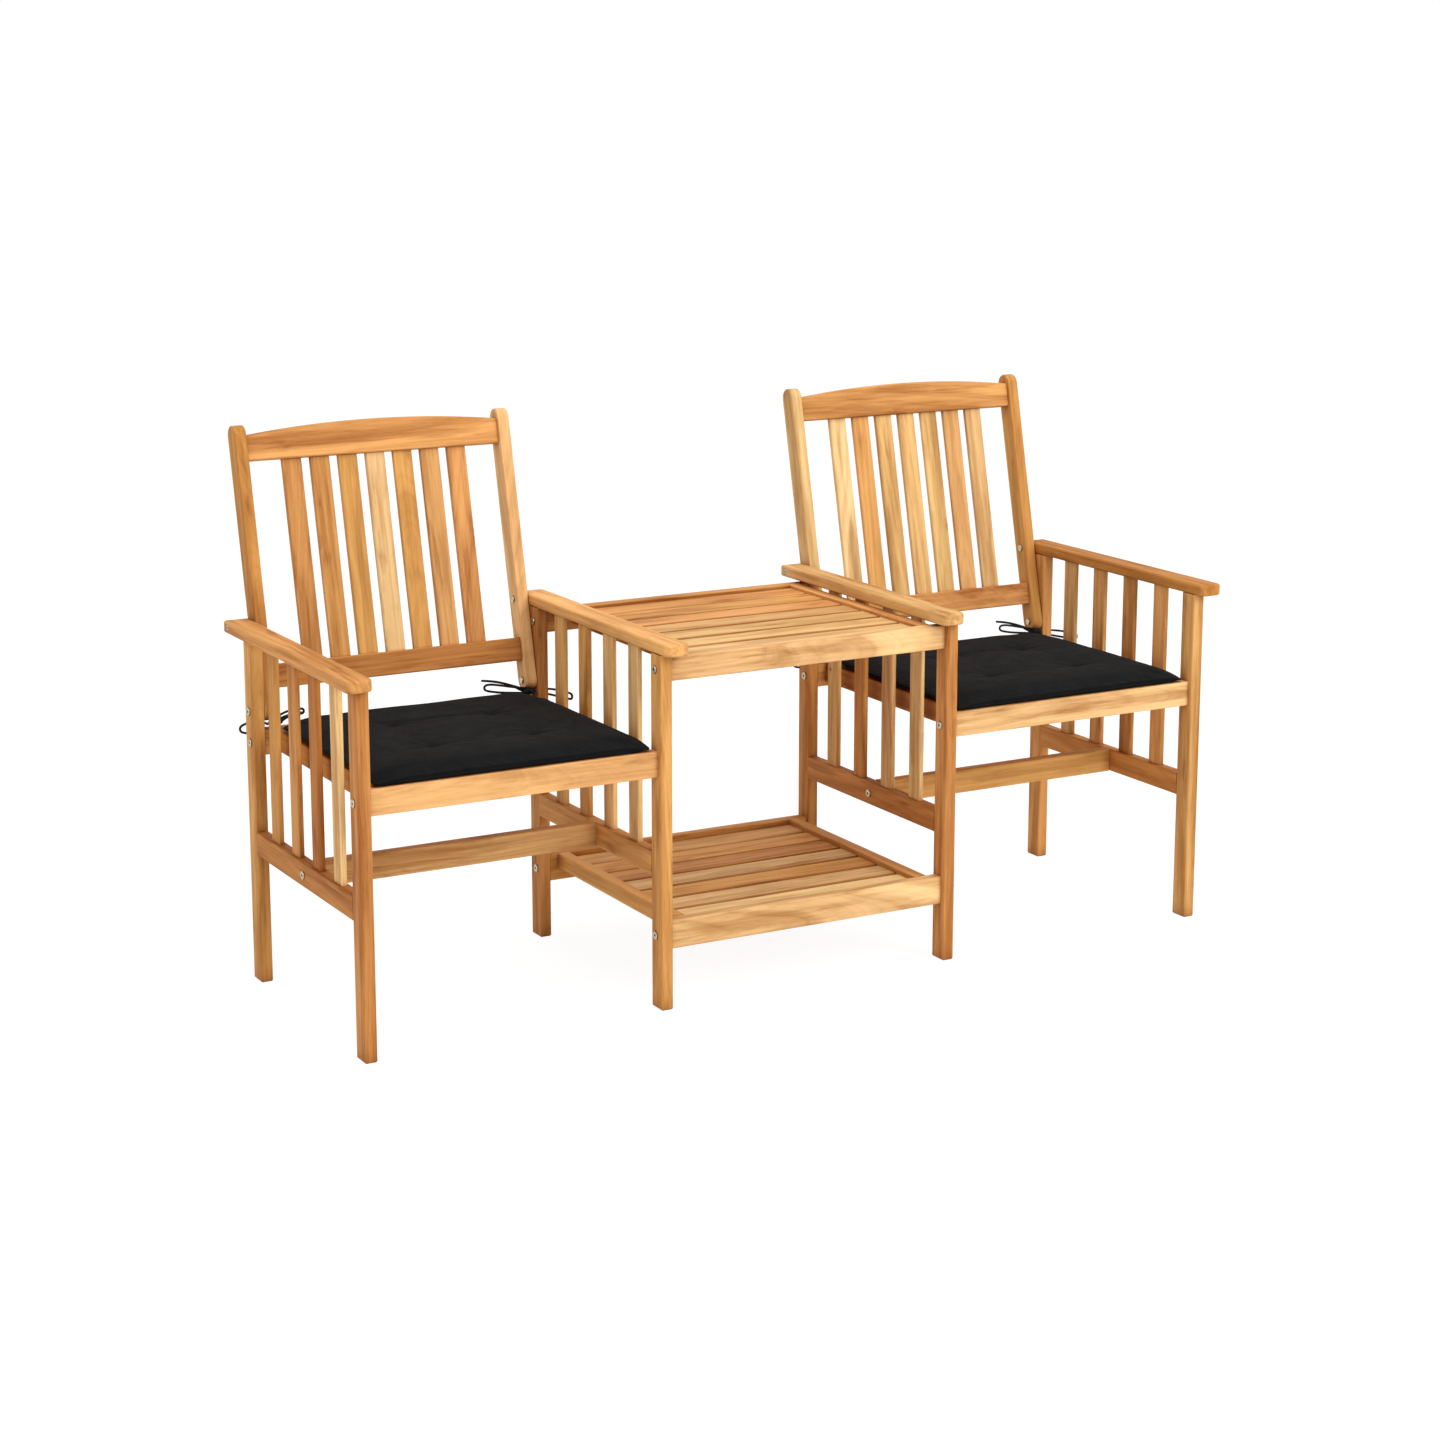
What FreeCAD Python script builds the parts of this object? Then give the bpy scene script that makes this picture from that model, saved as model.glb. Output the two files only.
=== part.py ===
"""Companion seat bench: two slatted wooden armchairs joined by a table with a lower shelf.

X runs along the bench, Y towards its back and Z up, in millimetres. The origin is on the floor,
below the middle of the bench. The right chair's outer half is modelled and the rest is its mirror
image, about the middle of the chair and about the middle of the bench.
"""
import FreeCAD, Part
import math
import os
from FreeCAD import Vector

# Timber sections
leg_width = 21.0
leg_depth = 35.0
board_thickness = 21.0
slat_thickness = 9.0
upright_slat_width = 34.0
deck_slat_width = 55.0
deck_slat_thickness = 10.0
arm_thickness = 20.0

# Widths along the bench
seat_width = 495.0
table_width = 522.0
arm_overhang = 22.0
deck_rail_inset = 17.0

# Depths from front to back
leg_spacing = 453.0
arm_front_overhang = 22.0
arm_bolt_end_distance = 16.5
rail_setback = 10.0

# Heights above the floor
bench_height = 920.0
arm_top = 608.0
seat_top = 431.0
table_top = 583.0
shelf_top = 147.0
side_rail_top = 260.0

# Heights of the boards
seat_rail_height = 43.0
table_apron_height = 40.0
shelf_apron_height = 48.0
side_rail_height = 40.0
stretcher_height = 42.0
seat_side_rail_height = 35.0
table_side_rail_height = 16.0
shelf_side_rail_height = 27.0
table_slat_recess = 6.0
shelf_slat_recess = 9.0

# Reclined back, measured along its posts from the lower bolt
recline_angle = 12.75
post_foot_gap = 12.5
bottom_rail_start = 34.0
bottom_rail_width = 40.0
crest_end_width = 43.0
crest_rise = 14.0

# Numbers of slats
side_slat_count = 4
back_slat_count = 7
deck_slat_count = 7
back_slat_gap = 15.5

# Joints
housing_depth = 8.0
tenon_length = 14.0
tenon_shoulder = 6.0
deck_stub_length = 5.0
deck_stub_shoulder = 4.0
joint_clearance = 0.2

# Fasteners
bolt_diameter = 6.0
bolt_hole_diameter = 6.6
bolt_head_diameter = 14.0
bolt_head_height = 2.2
bolt_head_bevel = 0.8
bolt_key_size = 4.0
bolt_key_depth = 1.4
bolt_key_sides = 6
arm_bolt_head_diameter = 11.0
bolt_reach = 60.0
barrel_diameter = 10.0
barrel_length = 16.0
barrel_edge_distance = 48.0
cap_nut_diameter = 12.0
cap_nut_height = 2.5
cap_nut_bevel = 0.8
shank_end_space = 1.0

# Roundings
arm_corner_radius = 12.0
arm_edge_radius = 4.0
board_edge_radius = 2.5
slat_edge_bevel = 1.5
foot_bevel = 2.0
edge_margin = 1.0

# Cushions
cushion_thickness = 28.0
cushion_side_gap = 7.5
cushion_front_side_gap = 2.5
cushion_rear_gap = 9.0
cushion_front_reach = 5.0
cushion_corner_radius = 30.0
cushion_front_corner_radius = 10.0
cushion_rest_gap = 0.3
cushion_base_side_inset = 24.0
cushion_base_end_inset = 9.0
cushion_seam_height = 11.0
cushion_shoulder_inset = 9.0
cushion_shoulder_height = 20.0
cushion_crown_inset = 36.0

# Cord that ties each rear corner of a cushion to its leg
tie_diameter = 4.0
tie_start_gap = 0.5
tie_bend_share = 0.45
tie_knot_diameter = 8.5
tie_knot_length = 7.0
tie_knot_rounding = 1.8

# Places that follow from the sizes above
arm_width = arm_overhang + leg_width
arm_bottom = arm_top - arm_thickness
recline = math.radians(recline_angle)
post_radius = leg_depth / 2
back_bolt_height = seat_top + post_foot_gap + post_radius
post_reach = (bench_height - post_radius - back_bolt_height) / math.cos(recline)
back_reach = post_reach * math.sin(recline) + post_radius
bench_depth = arm_front_overhang + leg_spacing + leg_depth / 2 + back_reach
arm_front_y = -bench_depth / 2
front_leg_y = arm_front_y + arm_front_overhang
rear_leg_y = front_leg_y + leg_spacing
front_rail_y = front_leg_y + rail_setback
rear_rail_y = rear_leg_y + leg_depth - rail_setback - board_thickness
back_bolt_y = rear_leg_y + leg_depth / 2
frame_middle_y = (front_leg_y + rear_leg_y + leg_depth) / 2
inner_leg_x = table_width / 2
seat_start_x = inner_leg_x + leg_width
seat_end_x = seat_start_x + seat_width
outer_face_x = seat_end_x + leg_width
chair_x = (seat_start_x + seat_end_x) / 2
side_rail_bottom = side_rail_top - side_rail_height


def box(x, y, z):
    """A block that spans each (low, high) pair."""
    corner = Vector(x[0], y[0], z[0])
    return Part.makeBox(x[1] - x[0], y[1] - y[0], z[1] - z[0], corner)


def grown(span, by=joint_clearance):
    """A span with clearance at both ends, for the socket that takes a tenon."""
    return (span[0] - by, span[1] + by)


def socket(x, y, z):
    """The pocket for a tenon that spans these pairs."""
    return box(grown(x), grown(y), grown(z))


def eased(solid, radius, longest_sharp=0.0):
    """The solid with each edge rounded that is longer than the longest one left sharp."""
    edges = [edge for edge in solid.Edges if edge.Length > longest_sharp + edge_margin]
    return solid.makeFillet(radius, edges)


def bevelled_slat(x, y, z):
    """A slat with a small bevel along its four long edges."""
    slat = box(x, y, z)
    ends = sorted((x[1] - x[0], y[1] - y[0], z[1] - z[0]))[1]
    edges = [edge for edge in slat.Edges if edge.Length > ends + edge_margin]
    return slat.makeChamfer(slat_edge_bevel, edges)


def cut_all(solid, tools):
    """The solid with each tool taken out of it."""
    for tool in tools:
        solid = solid.cut(tool)
    return solid


def fuse_all(solid, additions):
    """The solid with each addition joined to it."""
    for addition in additions:
        solid = solid.fuse(addition)
    return solid.removeSplitter()


def spread(low, high, width, count):
    """The (low, high) spans of pieces of one width with equal gaps, also at both ends."""
    gap = (high - low - count * width) / (count + 1)
    starts = [low + gap + index * (width + gap) for index in range(count)]
    return [(start, start + width) for start in starts]


def close_spread(low, high, width, count):
    """The (low, high) spans of pieces of one width that touch both ends, with equal gaps."""
    pitch = (high - low - width) / (count - 1)
    starts = [low + index * pitch for index in range(count)]
    return [(start, start + width) for start in starts]


def middle(span):
    """The middle of a span."""
    return (span[0] + span[1]) / 2


def centred(place, width):
    """The span of one width about a place."""
    return (place - width / 2, place + width / 2)


def hole_along_x(x, y, z, diameter=bolt_hole_diameter):
    """A drill of one diameter over a span of X."""
    length = x[1] - x[0]
    return Part.makeCylinder(diameter / 2, length, Vector(x[0], y, z), Vector(1, 0, 0))


# Spans that several pieces share
front_leg_span = (front_leg_y, front_leg_y + leg_depth)
rear_leg_span = (rear_leg_y, rear_leg_y + leg_depth)
front_rail_span = (front_rail_y, front_rail_y + board_thickness)
rear_rail_span = (rear_rail_y, rear_rail_y + board_thickness)
outer_leg_span = (seat_end_x, outer_face_x)
seat_span = (seat_start_x, seat_end_x)
seat_rail_z = (seat_top - seat_rail_height, seat_top)
table_apron_z = (table_top - table_apron_height, table_top)
shelf_apron_z = (shelf_top - shelf_apron_height, shelf_top)
side_rail_z = (side_rail_bottom, side_rail_top)
side_rail_span = (front_leg_span[1], rear_leg_span[0])
side_slat_x = centred(middle(outer_leg_span), slat_thickness)
side_slat_z = (side_rail_top - housing_depth, arm_bottom + housing_depth)
side_slat_spans = spread(*side_rail_span, upright_slat_width, side_slat_count)
side_tenon_x = centred(middle(outer_leg_span), slat_thickness)
side_tenon_z = (side_rail_bottom + tenon_shoulder, side_rail_top - tenon_shoulder)
stretcher_z = centred(middle(side_rail_z), stretcher_height)
stretcher_y = centred(frame_middle_y, board_thickness)
arm_bolt_height = arm_top - arm_thickness / 2
arm_bolt_y = back_bolt_y + (arm_bolt_height - back_bolt_height) * math.tan(recline)
arm_span = (arm_front_y, arm_bolt_y + arm_bolt_end_distance)
leg_tenon_z = (arm_bottom, arm_bottom + housing_depth)


def leg_tenon(y):
    """The stub on top of a leg that stands in the armrest."""
    x = (outer_leg_span[0] + tenon_shoulder, outer_leg_span[1] - tenon_shoulder)
    return x, (y[0] + tenon_shoulder, y[1] - tenon_shoulder), leg_tenon_z


def rail_tenon(end):
    """The tenon at one end of the side rail: -1 in the front leg and 1 in the rear leg."""
    face = side_rail_span[1] if end > 0 else side_rail_span[0]
    y = sorted((face, face + end * tenon_length))
    return side_tenon_x, tuple(y), side_tenon_z


def leg(y, rail_end, bolt_places):
    """One leg of the right chair's outer frame, drilled at each (y, z) place."""
    post = eased(box(outer_leg_span, y, (0.0, arm_bottom)), board_edge_radius, leg_depth)
    foot_edges = [edge for edge in post.Edges if edge.BoundBox.ZMax < foot_bevel]
    post = post.makeChamfer(foot_bevel, foot_edges)
    post = fuse_all(post, [box(*leg_tenon(y))])
    drills = [hole_along_x(grown(outer_leg_span), *place) for place in bolt_places]
    return cut_all(post, [socket(*rail_tenon(rail_end))] + drills)


def front_bolt_places(inner):
    """Where the front leg is drilled; a leg beside the table also carries table and shelf."""
    heights = [middle(seat_rail_z)]
    if inner:
        heights += [middle(table_apron_z), middle(shelf_apron_z)]
    return [(middle(front_rail_span), height) for height in heights]


def rear_bolt_places(inner):
    """Where the rear leg is drilled: as the front leg, and for the back."""
    rails = [(middle(rear_rail_span), height) for _, height in front_bolt_places(inner)]
    return rails + [(back_bolt_y, back_bolt_height)]


def arm_blank():
    """The armrest board: its plan with round corners, and its edges eased."""
    x = (seat_end_x, seat_end_x + arm_width)
    board = box(x, arm_span, (arm_bottom, arm_top))
    corners = [edge for edge in board.Edges if edge.Length < arm_thickness + edge_margin]
    corners = [edge for edge in corners if edge.BoundBox.YMax < frame_middle_y]
    return eased(board.makeFillet(arm_corner_radius, corners), arm_edge_radius)


def armrest():
    """The armrest, with sockets for legs and slats, and the back's bolt hole sunk in its edge."""
    tools = [socket(*leg_tenon(y)) for y in (front_leg_span, rear_leg_span)]
    tools += [socket(side_slat_x, y, side_slat_z) for y in side_slat_spans]
    edge_x = seat_end_x + arm_width
    across = grown((seat_end_x, edge_x))
    tools.append(hole_along_x(across, arm_bolt_y, arm_bolt_height))
    sunk = (edge_x - bolt_head_height, edge_x + joint_clearance)
    width = arm_bolt_head_diameter + 2 * joint_clearance
    tools.append(hole_along_x(sunk, arm_bolt_y, arm_bolt_height, width))
    return cut_all(arm_blank(), tools)


def side_rail():
    """The low rail between the legs, with the side slats' sockets and the stretcher's bolt."""
    blank = box(outer_leg_span, side_rail_span, side_rail_z)
    rail = eased(blank, board_edge_radius, side_rail_height)
    rail = fuse_all(rail, [box(*rail_tenon(end)) for end in (-1, 1)])
    tools = [socket(side_slat_x, y, side_slat_z) for y in side_slat_spans]
    tools.append(hole_along_x(grown(outer_leg_span), frame_middle_y, middle(side_rail_z)))
    return cut_all(rail, tools)


def side_slats():
    """The upright slats between the side rail and the armrest."""
    return [bevelled_slat(side_slat_x, y, side_slat_z) for y in side_slat_spans]


def side_frame(inner):
    """The five kinds of piece in the right chair's outer frame, by name."""
    return {
        "front_leg": [leg(front_leg_span, -1, front_bolt_places(inner))],
        "rear_leg": [leg(rear_leg_span, 1, rear_bolt_places(inner))],
        "armrest": [armrest()],
        "side_rail": [side_rail()],
        "side_slats": side_slats(),
    }


# The back is modelled upright, with its posts' lower bolt on the line y = 0, z = 0
back_x = (seat_start_x, seat_end_x)
back_clear_x = (seat_start_x + leg_width, seat_end_x - leg_width)
back_rail_y = centred(0.0, board_thickness)
back_slat_y = centred(0.0, slat_thickness)
bottom_rail_z = (bottom_rail_start, bottom_rail_start + bottom_rail_width)
crest_end_z = (post_reach - crest_end_width, post_reach)
back_slat_z = (bottom_rail_z[1] - housing_depth, crest_end_z[0] + housing_depth)
back_slats_width = back_slat_count * (upright_slat_width + back_slat_gap) + back_slat_gap
back_slat_area = centred(chair_x, back_slats_width)
back_slat_spans = spread(*back_slat_area, upright_slat_width, back_slat_count)


def reclined(solid):
    """A piece of the upright back, leaned and moved to its place on the rear legs."""
    placed = solid.copy()
    placed.rotate(Vector(0, 0, 0), Vector(1, 0, 0), -recline_angle)
    placed.translate(Vector(0, back_bolt_y, back_bolt_height))
    return placed


def back_tenon(z, end):
    """The tenon of a back rail in the outer post (1) or the inner post (-1)."""
    face = back_clear_x[1] if end > 0 else back_clear_x[0]
    x = sorted((face, face + end * tenon_length))
    return tuple(x), back_slat_y, (z[0] + tenon_shoulder, z[1] - tenon_shoulder)


def back_post():
    """The outer post of the back: round at both ends, and bolted to the leg and the armrest."""
    low, high = Vector(back_clear_x[1], 0, 0), Vector(back_clear_x[1], 0, post_reach)
    side = Vector(0, post_radius, 0)
    down = Part.Arc(low - side, low - Vector(0, 0, post_radius), low + side)
    over = Part.Arc(high + side, high + Vector(0, 0, post_radius), high - side)
    edges = [
        down.toShape(),
        Part.LineSegment(low + side, high + side).toShape(),
        over.toShape(),
        Part.LineSegment(high - side, low - side).toShape(),
    ]
    post = Part.Face(Part.Wire(edges)).extrude(Vector(leg_width, 0, 0))
    post = eased(post, board_edge_radius)
    tools = [socket(*back_tenon(z, 1)) for z in (bottom_rail_z, crest_end_z)]
    arm_bolt = (arm_bolt_height - back_bolt_height) / math.cos(recline)
    across = grown((back_clear_x[1], seat_end_x))
    tools += [hole_along_x(across, 0.0, z) for z in (0.0, arm_bolt)]
    return reclined(cut_all(post, tools))


def crest_rail():
    """The top rail of the back, with its arched upper edge."""
    low, high = crest_end_z
    left, right = back_clear_x
    y = back_rail_y[0]
    corners = [Vector(left, y, high), Vector(left, y, low), Vector(right, y, low)]
    corners.append(Vector(right, y, high))
    edges = [Part.LineSegment(a, b).toShape() for a, b in zip(corners, corners[1:])]
    top = Vector(chair_x, y, high + crest_rise)
    edges.append(Part.Arc(corners[-1], top, corners[0]).toShape())
    rail = Part.Face(Part.Wire(edges)).extrude(Vector(0, board_thickness, 0))
    rail = eased(rail, board_edge_radius, crest_end_width)
    rail = fuse_all(rail, [box(*back_tenon(crest_end_z, end)) for end in (-1, 1)])
    tools = [socket(x, back_slat_y, back_slat_z) for x in back_slat_spans]
    return reclined(cut_all(rail, tools))


def bottom_rail():
    """The lower rail of the back."""
    rail = box(back_clear_x, back_rail_y, bottom_rail_z)
    rail = eased(rail, board_edge_radius, bottom_rail_width)
    rail = fuse_all(rail, [box(*back_tenon(bottom_rail_z, end)) for end in (-1, 1)])
    tools = [socket(x, back_slat_y, back_slat_z) for x in back_slat_spans]
    return reclined(cut_all(rail, tools))


def back_slats():
    """The slats between the two rails of the back."""
    slats = [bevelled_slat(x, back_slat_y, back_slat_z) for x in back_slat_spans]
    return [reclined(slat) for slat in slats]


def barrel_axis_x(face_x, inward):
    """Where the barrel nut stands in a rail whose end is at face_x."""
    return face_x + inward * barrel_edge_distance


def bolted_board(x, y, z, sockets=()):
    """A board between two legs, with a bolt hole and a barrel nut's bore at each end."""
    board = eased(box(x, y, z), board_edge_radius, z[1] - z[0])
    tools = list(sockets)
    for face_x, inward in ((x[0], 1), (x[1], -1)):
        reach = sorted((face_x - inward * joint_clearance, face_x + inward * bolt_reach))
        tools.append(hole_along_x(reach, middle(y), middle(z)))
        bore_x = barrel_axis_x(face_x, inward)
        tools.append(barrel(bore_x, middle(y), middle(z), y[1], joint_clearance))
    return cut_all(board, tools)


def barrel(x, y, z, mouth_y, clearance=0.0):
    """A barrel nut across a board; with a clearance it is the bore, open at the back face."""
    radius = barrel_diameter / 2 + clearance
    start = Vector(x, y - barrel_length / 2 - clearance, z)
    end = mouth_y + clearance if clearance else y + barrel_length / 2
    return Part.makeCylinder(radius, end - start.y, start, Vector(0, 1, 0))


def deck_rail_spans(x):
    """The spans of the two rails beside a deck, inside the legs of a span of X."""
    left = x[0] + deck_rail_inset
    right = x[1] - deck_rail_inset
    return (left, left + board_thickness), (right - board_thickness, right)


def deck_stubs(x, z):
    """The stubs of a deck's side rail that stand in the boards before and behind it."""
    x = grown(x, -deck_stub_shoulder)
    z = grown(z, -deck_stub_shoulder)
    front_y = (deck_y[0] - deck_stub_length, deck_y[0])
    rear_y = (deck_y[1], deck_y[1] + deck_stub_length)
    return [(x, front_y, z), (x, rear_y, z)]


def deck_rail(x, z):
    """One side rail of a deck, with its stubs."""
    rail = bevelled_slat(x, deck_y, z)
    return fuse_all(rail, [box(*stub) for stub in deck_stubs(x, z)])


def deck_slats(x, z):
    """The slats of a deck over a span of X."""
    return [bevelled_slat(x, y, z) for y in deck_slat_spans]


def deck_boards(x, z, rail_z):
    """The front and rear boards round a deck whose side rails have the height rail_z."""
    stubs = [stub for rail_x in deck_rail_spans(x) for stub in deck_stubs(rail_x, rail_z)]
    sockets = [socket(*stub) for stub in stubs]
    return [[bolted_board(x, y, z, sockets)] for y in (front_rail_span, rear_rail_span)]


deck_y = (front_rail_span[1], rear_rail_span[0])
deck_slat_spans = close_spread(*deck_y, deck_slat_width, deck_slat_count)
table_span = (-inner_leg_x, inner_leg_x)
seat_side_rail_z = (seat_top - seat_side_rail_height, seat_top)
table_side_rail_z = (table_top - table_side_rail_height, table_top)
shelf_side_rail_z = (shelf_top - shelf_side_rail_height, shelf_top)


def deck(leg_x, rail_z, slat_top):
    """A deck's two side rails, and the slats housed in them, between the legs of a span of X."""
    slat_z = (slat_top - deck_slat_thickness, slat_top)
    spans = deck_rail_spans(leg_x)
    slat_x = (spans[0][1] - housing_depth, spans[1][0] + housing_depth)
    sockets = [socket(slat_x, y, slat_z) for y in deck_slat_spans]
    rails = [cut_all(deck_rail(x, rail_z), sockets) for x in spans]
    return rails, deck_slats(slat_x, slat_z)


def rims_at(disc, x):
    """The round edges of a disc that lie at one X."""
    rims = [edge for edge in disc.Edges if edge.Closed]
    return [edge for edge in rims if abs(edge.CenterOfMass.x - x) < cap_nut_bevel]


def key_socket(start, axis):
    """The hexagonal hole for the key in a bolt's head, sunk along the axis from its start."""
    radius = bolt_key_size / 2 / math.cos(math.pi / bolt_key_sides)
    turns = [2 * math.pi * side / bolt_key_sides for side in range(bolt_key_sides)]
    corners = [start + Vector(0, math.cos(turn), math.sin(turn)) * radius for turn in turns]
    outline = Part.makePolygon(corners + corners[:1])
    return Part.Face(outline).extrude(axis * bolt_key_depth)


def bolt(face_x, direction, y, z, length, head_diameter=bolt_head_diameter):
    """A round-headed bolt, its head on face_x and its shank running in direction."""
    axis = Vector(direction, 0, 0)
    head_start = Vector(face_x, y, z) - axis * bolt_head_height
    head = Part.makeCylinder(head_diameter / 2, bolt_head_height, head_start, axis)
    head = head.makeChamfer(bolt_head_bevel, rims_at(head, head_start.x))
    shank = Part.makeCylinder(bolt_diameter / 2, length, Vector(face_x, y, z), axis)
    return fuse_all(head, [shank]).cut(key_socket(head_start, axis))


def threaded_barrel(x, y, z):
    """A barrel nut with the cross hole that takes its bolt."""
    across = centred(x, barrel_diameter + 2 * joint_clearance)
    return barrel(x, y, z, y).cut(hole_along_x(across, y, z, bolt_diameter + joint_clearance))


def cap_nut(face_x, y, z):
    """The round cap on the seat's side of a back post, whose face is at face_x."""
    start = Vector(face_x, y, z)
    cap = Part.makeCylinder(cap_nut_diameter / 2, cap_nut_height, start, Vector(-1, 0, 0))
    return cap.makeChamfer(cap_nut_bevel, rims_at(cap, face_x - cap_nut_height))


def rail_bolts(z, face_x, direction):
    """The bolts at the front and rear ends of two rails, on one side of their legs."""
    spans = (front_rail_span, rear_rail_span)
    length = leg_width + bolt_reach - shank_end_space
    return [bolt(face_x, direction, middle(y), middle(z), length) for y in spans]


def rail_barrels(z, face_x, inward):
    """The barrel nuts of those bolts."""
    x = barrel_axis_x(face_x, inward)
    return [threaded_barrel(x, middle(y), middle(z)) for y in (front_rail_span, rear_rail_span)]


def chair_half_bolts():
    """The seat's and the stretcher's bolts in the right chair's outer frame."""
    bolts = rail_bolts(seat_rail_z, outer_face_x, -1)
    length = leg_width + bolt_reach - shank_end_space
    bolts.append(bolt(outer_face_x, -1, frame_middle_y, middle(side_rail_z), length))
    return bolts


def chair_half_barrels():
    """The barrel nuts in one end of the seat's rails and of the stretcher."""
    barrels = rail_barrels(seat_rail_z, seat_end_x, -1)
    x = barrel_axis_x(seat_end_x, -1)
    barrels.append(threaded_barrel(x, frame_middle_y, middle(side_rail_z)))
    return barrels


def table_half_bolts():
    """The bolts of the table and the shelf through the legs on the table's right."""
    heights = (table_apron_z, shelf_apron_z)
    return [item for z in heights for item in rail_bolts(z, inner_leg_x + leg_width, -1)]


def table_half_barrels():
    """The barrel nuts in the right ends of the aprons."""
    heights = (table_apron_z, shelf_apron_z)
    return [item for z in heights for item in rail_barrels(z, inner_leg_x, -1)]


def back_half_bolts():
    """The two bolts that hold the back's outer post, through the leg and the armrest."""
    low_length = outer_face_x - back_clear_x[1]
    low = bolt(outer_face_x, -1, back_bolt_y, back_bolt_height, low_length)
    seat_x = seat_end_x + arm_width - bolt_head_height
    high_length = seat_x - back_clear_x[1]
    head = arm_bolt_head_diameter
    high = bolt(seat_x, -1, arm_bolt_y, arm_bolt_height, high_length, head)
    return [low, high]


def back_half_caps():
    """The cap nuts on those two bolts."""
    places = ((back_bolt_y, back_bolt_height), (arm_bolt_y, arm_bolt_height))
    return [cap_nut(back_clear_x[1], y, z) for y, z in places]


def rounded_corner(before, corner, after, cut_back):
    """The arc that takes the place of a corner, cut back along both of its runs; its radius."""
    backward = (before - corner).normalize()
    forward = (after - corner).normalize()
    half_turn = (math.pi - backward.getAngle(forward)) / 2
    radius = cut_back / math.tan(half_turn)
    depth = radius / math.cos(half_turn) - radius
    crown = corner + (backward + forward).normalize() * depth
    return Part.Arc(corner + backward * cut_back, crown, corner + forward * cut_back), radius


cushion_rear_x = grown(seat_span, -cushion_side_gap)
cushion_front_x = grown(seat_span, -cushion_front_side_gap)
cushion_y = (front_rail_y - cushion_front_reach, rear_leg_y - cushion_rear_gap)
cushion_z = seat_top + cushion_rest_gap


def cushion_outline(side_inset, end_inset, height):
    """The cushion's rounded outline, drawn in at its sides and ends, at a height on the seat."""
    front_x = grown(cushion_front_x, -side_inset)
    rear_x = grown(cushion_rear_x, -side_inset)
    y = grown(cushion_y, -end_inset)
    z = cushion_z + height
    corners = [Vector(front_x[0], y[0], z), Vector(front_x[1], y[0], z)]
    corners += [Vector(rear_x[1], y[1], z), Vector(rear_x[0], y[1], z)]
    radii = [cushion_front_corner_radius] * 2 + [cushion_corner_radius] * 2
    neighbours = zip(corners[-1:] + corners[:-1], corners, corners[1:] + corners[:1], radii)
    arcs = [rounded_corner(*places)[0] for places in neighbours]
    sides = []
    for arc, following in zip(arcs, arcs[1:] + arcs[:1]):
        sides += [arc.toShape(), Part.makeLine(arc.EndPoint, following.StartPoint)]
    return Part.Wire(sides)


def cushion():
    """A seat cushion: a flat base, a seam round its widest line and a flat top."""
    outlines = [
        cushion_outline(cushion_base_side_inset, cushion_base_end_inset, 0.0),
        cushion_outline(0.0, 0.0, cushion_seam_height),
        cushion_outline(cushion_shoulder_inset, cushion_shoulder_inset, cushion_shoulder_height),
        cushion_outline(cushion_crown_inset, cushion_crown_inset, cushion_thickness),
    ]
    return Part.makeLoft(outlines, True, True)


def tie_start():
    """Where a tie leaves the seam at its cushion's rear corner, from the leg's near edge."""
    diagonal = (cushion_corner_radius + tie_start_gap) / math.sqrt(2)
    into_seat = cushion_side_gap + cushion_corner_radius - diagonal
    behind = diagonal - cushion_corner_radius - cushion_rear_gap
    return Vector(into_seat, behind, cushion_rest_gap + cushion_seam_height)


def under_the_post():
    """The stretch from the bow, through the gap below the back's post, to behind the leg."""
    return [
        Vector(9.0, -6.0, 16.5),
        Vector(5.0, 0.0, 11.0),
        Vector(7.5, 9.0, 7.0),
        Vector(9.0, 20.5, 6.3),
        Vector(8.5, 33.0, 6.0),
        Vector(1.0, 41.0, 5.5),
    ]


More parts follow.
